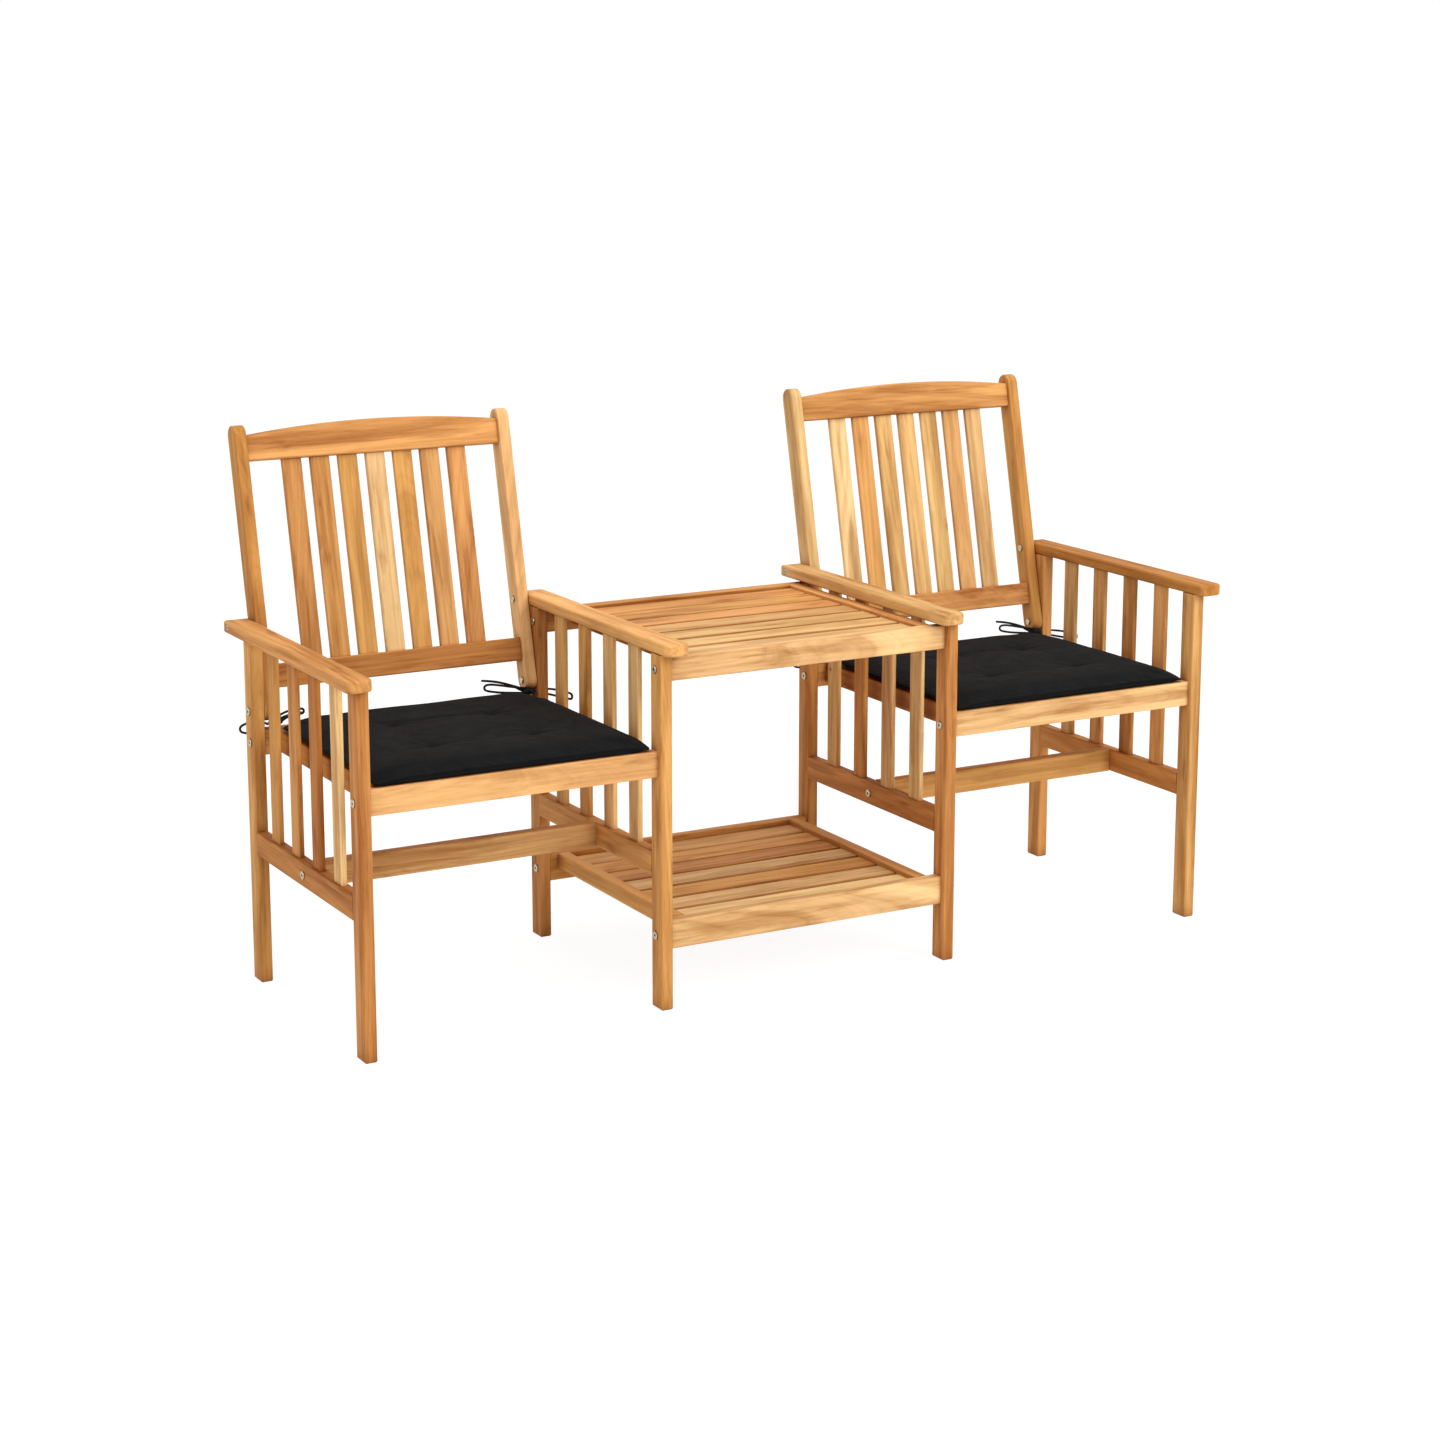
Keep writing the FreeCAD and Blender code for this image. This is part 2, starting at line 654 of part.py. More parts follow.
def long_tie_route():
    """A tie with long ears and a tail that runs forwards outside the leg.

    Each point is measured into the seat from the leg's side, backwards from the leg's front and
    upwards from the seat. It leads into the bow, along the upper ear and the lower ear, under
    the post, round the leg, and out and back along the tail.
    """
    bow = [Vector(10.8, -12.3, 12.3), Vector(21.0, -3.0, 16.3)]
    upper_ear = [
        Vector(46.0, 0.5, 26.0),
        Vector(72.0, 1.0, 34.7),
        Vector(89.7, 1.0, 38.6),
        Vector(101.7, 1.5, 40.3),
        Vector(101.5, 9.4, 39.0),
        Vector(87.0, 9.5, 36.9),
        Vector(68.0, 9.0, 33.0),
        Vector(44.0, 9.0, 24.5),
        Vector(27.5, 6.0, 14.5),
    ]
    under_bow = [Vector(17.5, 2.5, 10.0), Vector(18.5, -5.5, 9.3), Vector(28.0, -5.5, 12.5)]
    lower_ear = [
        Vector(46.0, -6.0, 15.0),
        Vector(72.0, -6.0, 18.0),
        Vector(90.0, -6.0, 21.5),
        Vector(103.0, -6.0, 25.2),
        Vector(103.5, -6.5, 33.7),
        Vector(92.0, -6.0, 34.6),
        Vector(76.0, -6.0, 31.5),
        Vector(52.0, -6.0, 26.0),
        Vector(32.0, -6.5, 22.0),
        Vector(18.0, -8.0, 20.8),
    ]
    round_leg = [Vector(-12.0, 42.5, 5.0), Vector(-26.0, 41.5, 5.0), Vector(-36.0, 33.0, 5.5)]
    tail = [
        Vector(-38.0, 15.0, 8.0),
        Vector(-38.5, -12.0, 11.0),
        Vector(-38.0, -41.0, 13.2),
        Vector(-38.0, -57.0, 13.6),
        Vector(-37.5, -57.5, 4.5),
        Vector(-37.5, -41.0, 2.5),
        Vector(-37.0, -14.0, 0.0),
        Vector(-36.5, 8.0, -1.5),
        Vector(-34.5, 26.0, -2.5),
        Vector(-29.5, 39.5, -3.3),
        Vector(-16.5, 43.5, -4.0),
        Vector(-4.5, 43.5, -4.6),
    ]
    ears = bow + upper_ear + under_bow + lower_ear
    return [tie_start()] + ears + under_the_post() + round_leg + tail


def short_tie_route():
    """A tie with short ears and a small loop beside the leg, measured like the long one."""
    bow = [Vector(10.8, -12.3, 12.3), Vector(20.5, -3.2, 16.3)]
    rear_ear = [
        Vector(38.0, 0.5, 19.5),
        Vector(54.0, 1.0, 21.0),
        Vector(65.0, 1.3, 22.2),
        Vector(65.3, 9.4, 20.8),
        Vector(55.0, 9.8, 19.0),
        Vector(41.0, 9.0, 18.5),
        Vector(28.0, 6.5, 15.0),
    ]
    under_bow = [Vector(17.5, 2.5, 10.0), Vector(18.5, -5.5, 9.3), Vector(26.0, -6.5, 13.5)]
    front_ear = [
        Vector(38.0, -6.0, 20.5),
        Vector(54.0, -6.0, 22.0),
        Vector(65.5, -6.0, 22.6),
        Vector(65.3, -6.5, 30.6),
        Vector(55.0, -6.0, 31.0),
        Vector(40.0, -6.0, 30.0),
        Vector(26.0, -6.5, 26.0),
        Vector(16.5, -8.0, 20.8),
    ]
    loop = [
        Vector(-11.0, 42.0, 5.0),
        Vector(-21.5, 41.5, 4.0),
        Vector(-29.5, 41.0, -0.5),
        Vector(-28.5, 40.5, -8.0),
        Vector(-20.0, 41.0, -11.5),
        Vector(-9.0, 41.5, -12.0),
        Vector(1.0, 41.2, -12.5),
    ]
    ears = bow + rear_ear + under_bow + front_ear
    return [tie_start()] + ears + under_the_post() + loop


def placed_route(route, leg_x, into_seat):
    """A route beside the leg whose near edge is at leg_x; into_seat is 1 towards positive X."""
    start = Vector(leg_x, rear_leg_y, seat_top)
    return [start + Vector(into_seat * point.x, point.y, point.z) for point in route]


def bend(before, point, after):
    """The arc at a point of a route, as large as its two runs allow, and its radius."""
    shorter_run = min((before - point).Length, (after - point).Length)
    return rounded_corner(before, point, after, tie_bend_share * shorter_run)


def tie_path(points):
    """The wire of straight runs and tangent arcs along a route, and the arcs' radii."""
    edges = []
    radii = []
    start = points[0]
    for before, point, after in zip(points, points[1:], points[2:]):
        arc, radius = bend(before, point, after)
        edges.append(Part.LineSegment(start, arc.StartPoint).toShape())
        edges.append(arc.toShape())
        radii.append(radius)
        start = arc.EndPoint
    edges.append(Part.LineSegment(start, points[-1]).toShape())
    return Part.Wire(edges), radii


def tie(name, points):
    """The cord along a route. Its tightest arcs are printed, and its volume is compared."""
    path, radii = tie_path(points)
    disc = Part.makeCircle(tie_diameter / 2, points[0], points[1] - points[0])
    cord = path.makePipeShell([Part.Wire([disc])], True, False)
    section = math.pi * tie_diameter ** 2 / 4
    share = cord.Volume / (section * path.Length)
    tightest = ", ".join("%.1f" % radius for radius in sorted(radii))
    print("%s is %.0f mm long, its volume is %.4f of section x length" % (name, path.Length, share))
    print("  arc radii: " + tightest)
    return cord


def tie_knot(points):
    """The knot on the end of a tie, which meets the cord face to face."""
    axis = (points[-1] - points[-2]).normalize()
    knot = Part.makeCylinder(tie_knot_diameter / 2, tie_knot_length, points[-1], axis)
    return knot.makeFillet(tie_knot_rounding, [edge for edge in knot.Edges if edge.Closed])


def tie_routes():
    """The route of each tie, by name. Both chairs are tied alike, and not as a mirror image."""
    long_route, short_route = long_tie_route(), short_tie_route()
    return {
        "right_outer_tie": placed_route(long_route, seat_end_x, -1),
        "right_inner_tie": placed_route(short_route, seat_start_x, 1),
        "left_inner_tie": placed_route(long_route, -seat_start_x, -1),
        "left_outer_tie": placed_route(short_route, -seat_end_x, 1),
    }


def tie_pieces():
    """The four ties, and the knots on their ends as one group."""
    routes = tie_routes()
    pieces = {name: [tie(name, points)] for name, points in routes.items()}
    pieces["tie_knots"] = [tie_knot(points) for points in routes.values()]
    return pieces


def mirrored(solids, plane_x):
    """The mirror image of each solid about the upright plane at plane_x."""
    return [solid.mirror(Vector(plane_x, 0, 0), Vector(1, 0, 0)) for solid in solids]


def chair_pieces():
    """Every piece of the right chair, by the name it has after right_ or left_."""
    pieces = {}
    for name, solids in side_frame(inner=False).items():
        pieces["outer_" + name] = solids
    for name, solids in side_frame(inner=True).items():
        pieces["inner_" + name] = mirrored(solids, chair_x)
    pieces["back_outer_post"] = [back_post()]
    pieces["back_inner_post"] = mirrored([back_post()], chair_x)
    pieces["back_crest_rail"] = [crest_rail()]
    pieces["back_bottom_rail"] = [bottom_rail()]
    pieces["back_slats"] = back_slats()
    boards = deck_boards(seat_span, seat_rail_z, seat_side_rail_z)
    pieces["seat_front_rail"], pieces["seat_rear_rail"] = boards
    side_rails, slats = deck(seat_span, seat_side_rail_z, seat_top)
    pieces["seat_side_rails"], pieces["seat_slats"] = side_rails, slats
    pieces["stretcher"] = [bolted_board(seat_span, stretcher_y, stretcher_z)]
    pieces["cushion"] = [cushion()]
    return pieces


def table_pieces():
    """The table and the shelf between the chairs."""
    pieces = {}
    for name, apron_z, rail_z, slat_top in (
        ("table", table_apron_z, table_side_rail_z, table_top - table_slat_recess),
        ("shelf", shelf_apron_z, shelf_side_rail_z, shelf_top - shelf_slat_recess),
    ):
        boards = deck_boards(table_span, apron_z, rail_z)
        pieces[name + "_front_apron"], pieces[name + "_rear_apron"] = boards
        pieces[name + "_side_rails"], pieces[name + "_slats"] = deck(table_span, rail_z, slat_top)
    return pieces


def both_ends(solids):
    """Solids at the right chair's outer frame, and their images at its inner frame."""
    return solids + mirrored(solids, chair_x)


def fastener_pieces():
    """The fasteners, as one group for each kind."""
    right = {
        "rail_bolts": both_ends(chair_half_bolts()) + table_half_bolts(),
        "barrel_nuts": both_ends(chair_half_barrels()) + table_half_barrels(),
        "back_bolts": both_ends(back_half_bolts()),
        "cap_nuts": both_ends(back_half_caps()),
    }
    return {name: solids + mirrored(solids, 0.0) for name, solids in right.items()}


def all_pieces():
    """Every node of the bench, by name."""
    pieces = {}
    for name, solids in chair_pieces().items():
        pieces["right_" + name] = solids
        pieces["left_" + name] = mirrored(solids, 0.0)
    pieces.update(table_pieces())
    pieces.update(fastener_pieces())
    pieces.update(tie_pieces())
    return pieces


def export(name, solids):
    """Writes one node's solids to its own file."""
    shape = solids[0] if len(solids) == 1 else Part.makeCompound(solids)
    shape.exportStep("parts/" + name + ".step")


os.makedirs("parts", exist_ok=True)
for node, node_solids in all_pieces().items():
    export(node, node_solids)
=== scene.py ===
"""Companion seat bench: looks and soft pieces on the CAD frame, laid out as a Blender add-on.

Everything is in metres, in the frame's own axes: X along the bench, Y towards its back, Z up.
The boards and the fasteners are the CAD's own solids with procedural materials. The cushions,
with their piping and tufts, and the ties, with their bows and knots, are modelled here.
"""

import math
import re

import bmesh
import bpy
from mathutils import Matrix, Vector, noise


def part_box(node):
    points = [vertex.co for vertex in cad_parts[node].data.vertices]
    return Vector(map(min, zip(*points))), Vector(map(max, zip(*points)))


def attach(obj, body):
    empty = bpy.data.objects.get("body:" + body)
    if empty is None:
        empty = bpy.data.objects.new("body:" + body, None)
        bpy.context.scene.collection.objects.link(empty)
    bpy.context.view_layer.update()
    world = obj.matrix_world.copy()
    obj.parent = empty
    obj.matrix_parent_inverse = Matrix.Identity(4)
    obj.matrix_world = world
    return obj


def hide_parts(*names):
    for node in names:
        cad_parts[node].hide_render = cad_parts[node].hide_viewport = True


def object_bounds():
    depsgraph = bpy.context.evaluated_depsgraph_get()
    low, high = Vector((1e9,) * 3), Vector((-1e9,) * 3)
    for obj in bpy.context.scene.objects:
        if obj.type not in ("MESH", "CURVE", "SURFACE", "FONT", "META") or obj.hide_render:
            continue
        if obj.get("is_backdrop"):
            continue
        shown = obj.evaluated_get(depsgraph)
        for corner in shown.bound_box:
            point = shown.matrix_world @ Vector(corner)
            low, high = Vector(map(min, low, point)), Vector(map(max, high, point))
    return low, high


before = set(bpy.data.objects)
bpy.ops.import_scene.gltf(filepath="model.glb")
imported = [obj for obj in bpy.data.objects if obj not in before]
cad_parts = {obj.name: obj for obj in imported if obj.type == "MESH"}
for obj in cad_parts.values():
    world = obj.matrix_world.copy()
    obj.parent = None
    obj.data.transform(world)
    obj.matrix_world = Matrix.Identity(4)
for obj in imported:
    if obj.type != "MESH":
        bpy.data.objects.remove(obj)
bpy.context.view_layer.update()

bl_info = {
    "name": "Companion Seat Bench",
    "version": (1, 0, 0),
    "blender": (4, 5, 0),
    "location": "View3D > Sidebar > Bench",
    "description": "Finishes a slatted two-seat bench, and makes its cushions and ties",
    "category": "Add Mesh",
}

BODY = "root"
UP = Vector((0, 0, 1))
BACK_LEAN = math.radians(12.75)
FASTENERS = ("rail_bolts", "barrel_nuts", "back_bolts", "cap_nuts")
DECK_SLATS = ("seat_slats", "table_slats", "shelf_slats")
DECK_SLAT_WIDTH = 0.055
SLATS_IN_SET = {"side_slats": 4, "back_slats": 7} | dict.fromkeys(DECK_SLATS, 7)

# How pale each board is, from 0, the brownest, to 1, the palest. A set of slats has one tone
# for each slat, from the left or from the front. A board of the chairs is given for the left
# one, then for the right one, and a board that isn't named has the usual tone.
USUAL_TONE = 0.45
MIDDLE_TONES = {
    "table_front_apron": 0.88,
    "table_rear_apron": 0.45,
    # The table's slats darken from front to rear: partly their own tone, partly painted shade
    # deepening towards the rear
    "table_slats": (1.0, 0.87, 0.8, 0.73, 0.4, 0.35, 0.3),
    "table_side_rails": 0.5,
    "shelf_front_apron": 0.9,
    "shelf_rear_apron": 0.3,
    "shelf_slats": (1.0, 1.0, 0.38, 1.0, 0.5, 0.48, 0.65),
    "shelf_side_rails": 0.4,
}
CHAIR_TONES = {
    "seat_front_rail": (0.66, 0.9),
    "seat_side_rails": (0.0, 0.1),
    "back_crest_rail": (0.4, 0.5),
    "back_slats": (
        (0.42, 0.5, 0.33, 1.0, 0.28, 0.6, 0.42),
        (1.0, 0.47, 0.75, 0.72, 0.75, 0.65, 0.95),
    ),
    "back_bottom_rail": (0.15, 0.4),
    "back_outer_post": (0.12, 0.2),
    "back_inner_post": (0.75, 1.0),
    "outer_front_leg": (0.22, 0.6),
    "outer_rear_leg": (0.4, 0.4),
    "inner_front_leg": (0.38, 0.4),
    "inner_rear_leg": (0.4, 0.25),
    "outer_armrest": (0.45, 0.02),
    "inner_armrest": (0.55, 0.75),
    "outer_side_slats": ((0.92, 0.05, 0.38, 0.2), (0.5, 0.38, 0.56, 0.82)),
    "inner_side_slats": ((0.9, 0.76, 0.38, 0.6), (0.92, 0.84, 0.1, 0.7)),
    "outer_side_rail": (0.08, 0.1),
    "inner_side_rail": (0.3, 0.2),
    "stretcher": (0.73, 0.45),
}

# A board's fine grain: each noise's scale along the axes, its detail and its two thresholds
GRAIN_NOISES = {
    "streak": ((260.0, 260.0, 4.0), 4.0, 0.38, 0.70),
    "flame": ((48.0, 48.0, 4.2), 3.0, 0.41, 0.63),
    "pore": ((1500.0, 1500.0, 42.0), 1.0, 0.60, 0.72),
}
# How much each part of the figure darkens a board, and the marks that stand out from it
FIGURE_WEIGHTS = {"band": 0.20, "line": 0.10, "streak": 0.14, "flame": 0.33, "heart": 0.28}
MARK_WEIGHTS = {"pore": 0.12, "near_knot": 0.20, "smudge": 0.44}
KNOT_WEIGHT = 1.25
# What a board's own colour is multiplied by in its palest and darkest figure, and for the
# painted shade in close corners and at the rims of the slats that are laid flat
EARLY_WOOD = (1.28, 1.38, 1.48, 1.0)
LATE_WOOD = (0.55, 0.41, 0.30, 1.0)
CORNER_PAINTED_SHADE = (0.50, 0.33, 0.22, 1.0)
RIM_PAINTED_SHADE = (0.60, 0.44, 0.30, 1.0)
CORNER_REACH = 0.045
# Boards take their own part of the figure by a number: this far apart, and off whole numbers
BOARD_STEP = 11
BOARD_OFFSET = 0.37
# The painted shade round the bolts' heads
HEAD_REACH = 0.004
HEAD_PAINTED_SHADE = (0.012, 0.007, 0.004, 1.0)

# The cloth that swells the cushions, and the frames that it swells for
AIR_FRAMES = 20
AIR_SETTINGS = {
    "quality": 6,
    "mass": 0.25,
    "use_pressure": True,
    "uniform_pressure_force": 4.0,
    "tension_stiffness": 18.0,
    "compression_stiffness": 18.0,
    "shear_stiffness": 9.0,
    "bending_stiffness": 0.8,
    "vertex_group_mass": "tufts",
}
# Cloth this near to a tuft or to the seat is held
TUFT_HOLD = 0.007
BASE_HOLD = 0.002
# The share of the swelling that the cushion's plan is drawn in by, so that it stays on the seat
ROOM_TO_SWELL = 0.3
# How full the cushion is at its edge, and what share of its height it loses at a corner
EDGE_SHARE = 0.08
CORNER_LOSS = 0.75
# A tuft's pit and the hollow round it, which are wider along the bench
TUFT_WIDTH = 1.5
PIT_REACH = 0.008
HOLLOW_REACH = 0.030
PIT_SHARE = 0.75
# The folds round a tuft, the filling's lumps and the puckers along the seam
FOLDS = 7
FOLD_REACH = 0.035
FOLD_HEIGHT = 0.0011
LUMP_HEIGHT = 0.0016
LUMP_MARGIN = 0.03
PUCKER_REACH = 0.022
PUCKER_HEIGHT = 0.0007
PUCKER_RATE = 260
# The piped seam: how many spokes find its outline, and how far from its height they look
SEAM_SPOKES = 260
SEAM_BAND = 0.003
PIPING_SIDES = 10
# The crossed stitches of a tuft
STITCH_LENGTH = 0.009
STITCH_RADIUS = 0.0007
STITCH_ARCH = 0.0006
STITCH_LIFT = 0.0004
STITCH_TURN = 0.6
STITCH_RINGS = 9
STITCH_SIDES = 8

# The photograph's view, as a camera fitted to the bench's corners
CAMERA_PLACE = Vector((-2.3878, -4.2615, 1.5423))
CAMERA_YAW = math.radians(29.085)
CAMERA_PITCH = math.radians(11.809)
CAMERA_LENS = 72.85
CAMERA_SHIFT_Y = -0.05
CAMERA_REACH = 60.0
SENSOR = 36.0

# Each tie's route, as the CAD part has it: measured in metres from the leg's side into the
# seat, backwards from the rear leg's front and upwards from the seat's slats
UNDER_POST = [
    (0.0090, -0.0060, 0.0165), (0.0050, 0.0000, 0.0110), (0.0075, 0.0090, 0.0070),
    (0.0090, 0.0205, 0.0063), (0.0085, 0.0330, 0.0060), (0.0010, 0.0410, 0.0055),
]
LONG_TIE = [
    (0.0159, -0.0174, 0.0113), (0.0108, -0.0123, 0.0123), (0.0210, -0.0030, 0.0163),
    (0.0460, 0.0005, 0.0260), (0.0720, 0.0010, 0.0347), (0.0897, 0.0010, 0.0386),
    (0.1017, 0.0015, 0.0403), (0.1015, 0.0094, 0.0390), (0.0870, 0.0095, 0.0369),
    (0.0680, 0.0090, 0.0330), (0.0440, 0.0090, 0.0245), (0.0275, 0.0060, 0.0145),
    (0.0175, 0.0025, 0.0100), (0.0185, -0.0055, 0.0093), (0.0280, -0.0055, 0.0125),
    (0.0460, -0.0060, 0.0150), (0.0720, -0.0060, 0.0180), (0.0900, -0.0060, 0.0215),
    (0.1030, -0.0060, 0.0252), (0.1035, -0.0065, 0.0337), (0.0920, -0.0060, 0.0346),
    (0.0760, -0.0060, 0.0315), (0.0520, -0.0060, 0.0260), (0.0320, -0.0065, 0.0220),
    (0.0180, -0.0080, 0.0208),
    *UNDER_POST,
    (-0.0120, 0.0425, 0.0050), (-0.0260, 0.0415, 0.0050), (-0.0360, 0.0330, 0.0055),
    (-0.0380, 0.0150, 0.0080), (-0.0385, -0.0120, 0.0110), (-0.0380, -0.0410, 0.0132),
    (-0.0380, -0.0570, 0.0136), (-0.0375, -0.0575, 0.0045), (-0.0375, -0.0410, 0.0025),
    (-0.0370, -0.0140, 0.0000), (-0.0365, 0.0080, -0.0015), (-0.0345, 0.0260, -0.0025),
    (-0.0295, 0.0395, -0.0033), (-0.0165, 0.0435, -0.0040), (-0.0045, 0.0435, -0.0046),
]
SHORT_TIE = [
    (0.0159, -0.0174, 0.0113), (0.0108, -0.0123, 0.0123), (0.0205, -0.0032, 0.0163),
    (0.0380, 0.0005, 0.0195), (0.0540, 0.0010, 0.0210), (0.0650, 0.0013, 0.0222),
    (0.0653, 0.0094, 0.0208), (0.0550, 0.0098, 0.0190), (0.0410, 0.0090, 0.0185),
    (0.0280, 0.0065, 0.0150), (0.0175, 0.0025, 0.0100), (0.0185, -0.0055, 0.0093),
    (0.0260, -0.0065, 0.0135), (0.0380, -0.0060, 0.0205), (0.0540, -0.0060, 0.0220),
    (0.0655, -0.0060, 0.0226), (0.0653, -0.0065, 0.0306), (0.0550, -0.0060, 0.0310),
    (0.0400, -0.0060, 0.0300), (0.0260, -0.0065, 0.0260), (0.0165, -0.0080, 0.0208),
    *UNDER_POST,
    (-0.0110, 0.0420, 0.0050), (-0.0215, 0.0415, 0.0040), (-0.0295, 0.0410, -0.0005),
    (-0.0285, 0.0405, -0.0080), (-0.0200, 0.0410, -0.0115), (-0.0090, 0.0415, -0.0120),
    (0.0010, 0.0412, -0.0125),
]
# Each tie's route, and whether its seat is towards +X or -X from its leg
TIES = {
    "left_outer_tie": (SHORT_TIE, 1),
    "left_inner_tie": (LONG_TIE, -1),
    "right_inner_tie": (SHORT_TIE, 1),
    "right_outer_tie": (LONG_TIE, -1),
}
# The bow's knot, from the first point of its tie, and the form of all knots
BOW_OFFSET = (0.006, 0.0115, 0.0045)
BOW_RADIUS = 0.0074
KNOT_ADVANCE = 0.7
KNOT_TWIST = 1.9
KNOT_GROOVES = 0.24
KNOT_HEIGHT = 0.92

# Each lamp's place and the side of its square, and the floor
LAMPS = {
    "key": ((1.6, -4.2, 3.4), 2.6),
    "side": ((-4.6, -1.0, 2.6), 2.4),
    "top": ((0.2, -0.9, 4.2), 2.8),
}
LAMP_TARGET = Vector((0.0, 0.0, 0.45))
WHITE = (1.0, 1.0, 1.0, 1.0)
FLOOR_HALF_SIDE = 30.0
FLOOR_GAP = 0.0005
FLOOR_GLOW_SHARE = 0.8


class WoodFinish(bpy.types.PropertyGroup):
    """The colours and the figure of the oiled boards."""

    pale: bpy.props.FloatVectorProperty(
        name="Pale board", description="Colour of the palest boards",
        subtype="COLOR", default=(0.80, 0.52, 0.225),
    )
    honey: bpy.props.FloatVectorProperty(
        name="Honey board", description="Colour of the middling boards",
        subtype="COLOR", default=(0.67, 0.325, 0.098),
    )
    brown: bpy.props.FloatVectorProperty(
        name="Brown board", description="Colour of the darkest boards",
        subtype="COLOR", default=(0.46, 0.170, 0.038),
    )
    ring_spacing: bpy.props.FloatProperty(
        name="Ring spacing", description="Distance between growth rings",
        unit="LENGTH", default=0.009,
    )
    figure: bpy.props.FloatProperty(
        name="Figure", description="How strongly rings and streaks show",
        subtype="FACTOR", default=1.0,
    )
    # Painted shade: a dark band along the long edges of the seat, table and shelf slats, beside the
    # shaded gaps
    rim: bpy.props.FloatProperty(
        name="Painted shade rim", description="Width of the dark rim of seat, table and shelf slats",
        unit="LENGTH", default=0.003,
    )
    relief: bpy.props.FloatProperty(
        name="Grain relief", description="Depth of the open grain", unit="LENGTH", default=0.00025
    )


class CushionForm(bpy.types.PropertyGroup):
    """The form and the cloth of the seat cushions."""

    cloth: bpy.props.FloatVectorProperty(
        name="Cloth", description="Colour of the cushion's cloth",
        subtype="COLOR", default=(0.0066, 0.0068, 0.0070),
    )
    seam_height: bpy.props.FloatProperty(
        name="Seam height", description="Height of the piped seam above the seat",
        unit="LENGTH", default=0.011,
    )
    piping: bpy.props.FloatProperty(
        name="Piping", description="Radius of the piped seam", unit="LENGTH", default=0.0016
    )
    tuft_across: bpy.props.FloatProperty(
        name="Tufts across", description="Distance between tufts along the bench",
        unit="LENGTH", default=0.176,
    )
    tuft_front: bpy.props.FloatProperty(
        name="Front tufts", description="Distance of the front tufts from the cushion's front",
        unit="LENGTH", default=0.125,
    )
    tuft_rear: bpy.props.FloatProperty(
        name="Rear tufts", description="Distance of the rear tufts from the cushion's front",
        unit="LENGTH", default=0.285,
    )
    tuft_depth: bpy.props.FloatProperty(
        name="Tuft depth", description="How far a tuft is drawn into the top",
        unit="LENGTH", default=0.0078,
    )
    loft: bpy.props.FloatProperty(
        name="Loft", description="Height of the cushion's middle above its seam",
        unit="LENGTH", default=0.0145,
    )
    softness: bpy.props.FloatProperty(
        name="Softness", description="Share of the swelling that lifts the top",
        subtype="FACTOR", default=0.3,
    )
    edge_width: bpy.props.FloatProperty(
        name="Edge width", description="How far the thin front and sides reach inwards",
        unit="LENGTH", default=0.11,
    )
    rear_edge_width: bpy.props.FloatProperty(
        name="Rear edge width", description="How far the thin rear edge reaches inwards",
        unit="LENGTH", default=0.05,
    )
    corner_reach: bpy.props.FloatProperty(
        name="Corner reach", description="How far a flattened corner reaches inwards",
        unit="LENGTH", default=0.034,
    )
    swell: bpy.props.FloatProperty(
        name="Swell", description="Furthest that the filling pushes the cloth",
        unit="LENGTH", default=0.005,
    )
    voxel: bpy.props.FloatProperty(
        name="Mesh size", description="Size of the cushion's mesh before it is smoothed",
        unit="LENGTH", default=0.0055,
    )


class TieForm(bpy.types.PropertyGroup):
    """The cords that tie the cushions to the legs."""

    cord: bpy.props.FloatVectorProperty(
        name="Cord", description="Colour of the braided cord",
        subtype="COLOR", default=(0.012, 0.0115, 0.0115),
    )
    diameter: bpy.props.FloatProperty(
        name="Diameter", description="Thickness of the cord", unit="LENGTH", default=0.004
    )
    knot_radius: bpy.props.FloatProperty(
        name="Knot", description="Radius of the knot on a tie's end", unit="LENGTH", default=0.0042
    )


class MetalFinish(bpy.types.PropertyGroup):
    """The plating of bolts and nuts."""

    plating: bpy.props.FloatVectorProperty(
        name="Plating", description="Colour of the yellow zinc",
        subtype="COLOR", default=(0.56, 0.45, 0.30),
    )


class StageLook(bpy.types.PropertyGroup):
    """The floor and the lamps."""

    floor: bpy.props.FloatVectorProperty(
        name="Floor", description="Colour of the floor", subtype="COLOR", default=(0.86, 0.86, 0.86)
    )
    glow: bpy.props.FloatProperty(
        name="Floor's white", description="How bright the floor is to the camera", default=1.14
    )
    ambient: bpy.props.FloatProperty(
        name="Ambient light", description="Strength of the light from all round", default=0.72
    )
    key: bpy.props.FloatProperty(
        name="Key lamp", description="Power of the large lamp in front", unit="POWER", default=122.0
    )
    top: bpy.props.FloatProperty(
        name="Top lamp", description="Power of the lamp above", unit="POWER", default=52.0
    )
    side: bpy.props.FloatProperty(
        name="Side lamp", description="Power of the lamp on the left", unit="POWER", default=34.0
    )


GROUPS = {
    "bench_wood": WoodFinish,
    "bench_cushion": CushionForm,
    "bench_tie": TieForm,
    "bench_metal": MetalFinish,
    "bench_stage": StageLook,
}


def feed(tree, sockets, inputs):
    """Gives input sockets their values, or links them to other sockets."""
    for name, value in inputs.items():
        if isinstance(value, bpy.types.NodeSocket):
            tree.links.new(value, sockets[name])
        else:
            sockets[name].default_value = value


def shade(tree, kind, inputs=None, **settings):
    """A shader node of a kind, with its settings and its inputs."""
    node = tree.nodes.new("ShaderNode" + kind)
    for name, value in settings.items():
        setattr(node, name, value)
    feed(tree, node.inputs, inputs or {})
    return node


def calculate(tree, operation, *values):
    """A Math node's result."""
    return shade(tree, "Math", dict(enumerate(values)), operation=operation).outputs[0]


def calculate_vector(tree, operation, *vectors):
    """A Vector Math node's result as a vector."""
    inputs = dict(enumerate(vectors))
    return shade(tree, "VectorMath", inputs, operation=operation).outputs[0]


def stretch(tree, vector, scale):
    """A vector scaled along each axis."""
    return calculate_vector(tree, "MULTIPLY", vector, scale)


def added(tree, first, second):
    """The sum of two vectors."""
    return calculate_vector(tree, "ADD", first, second)


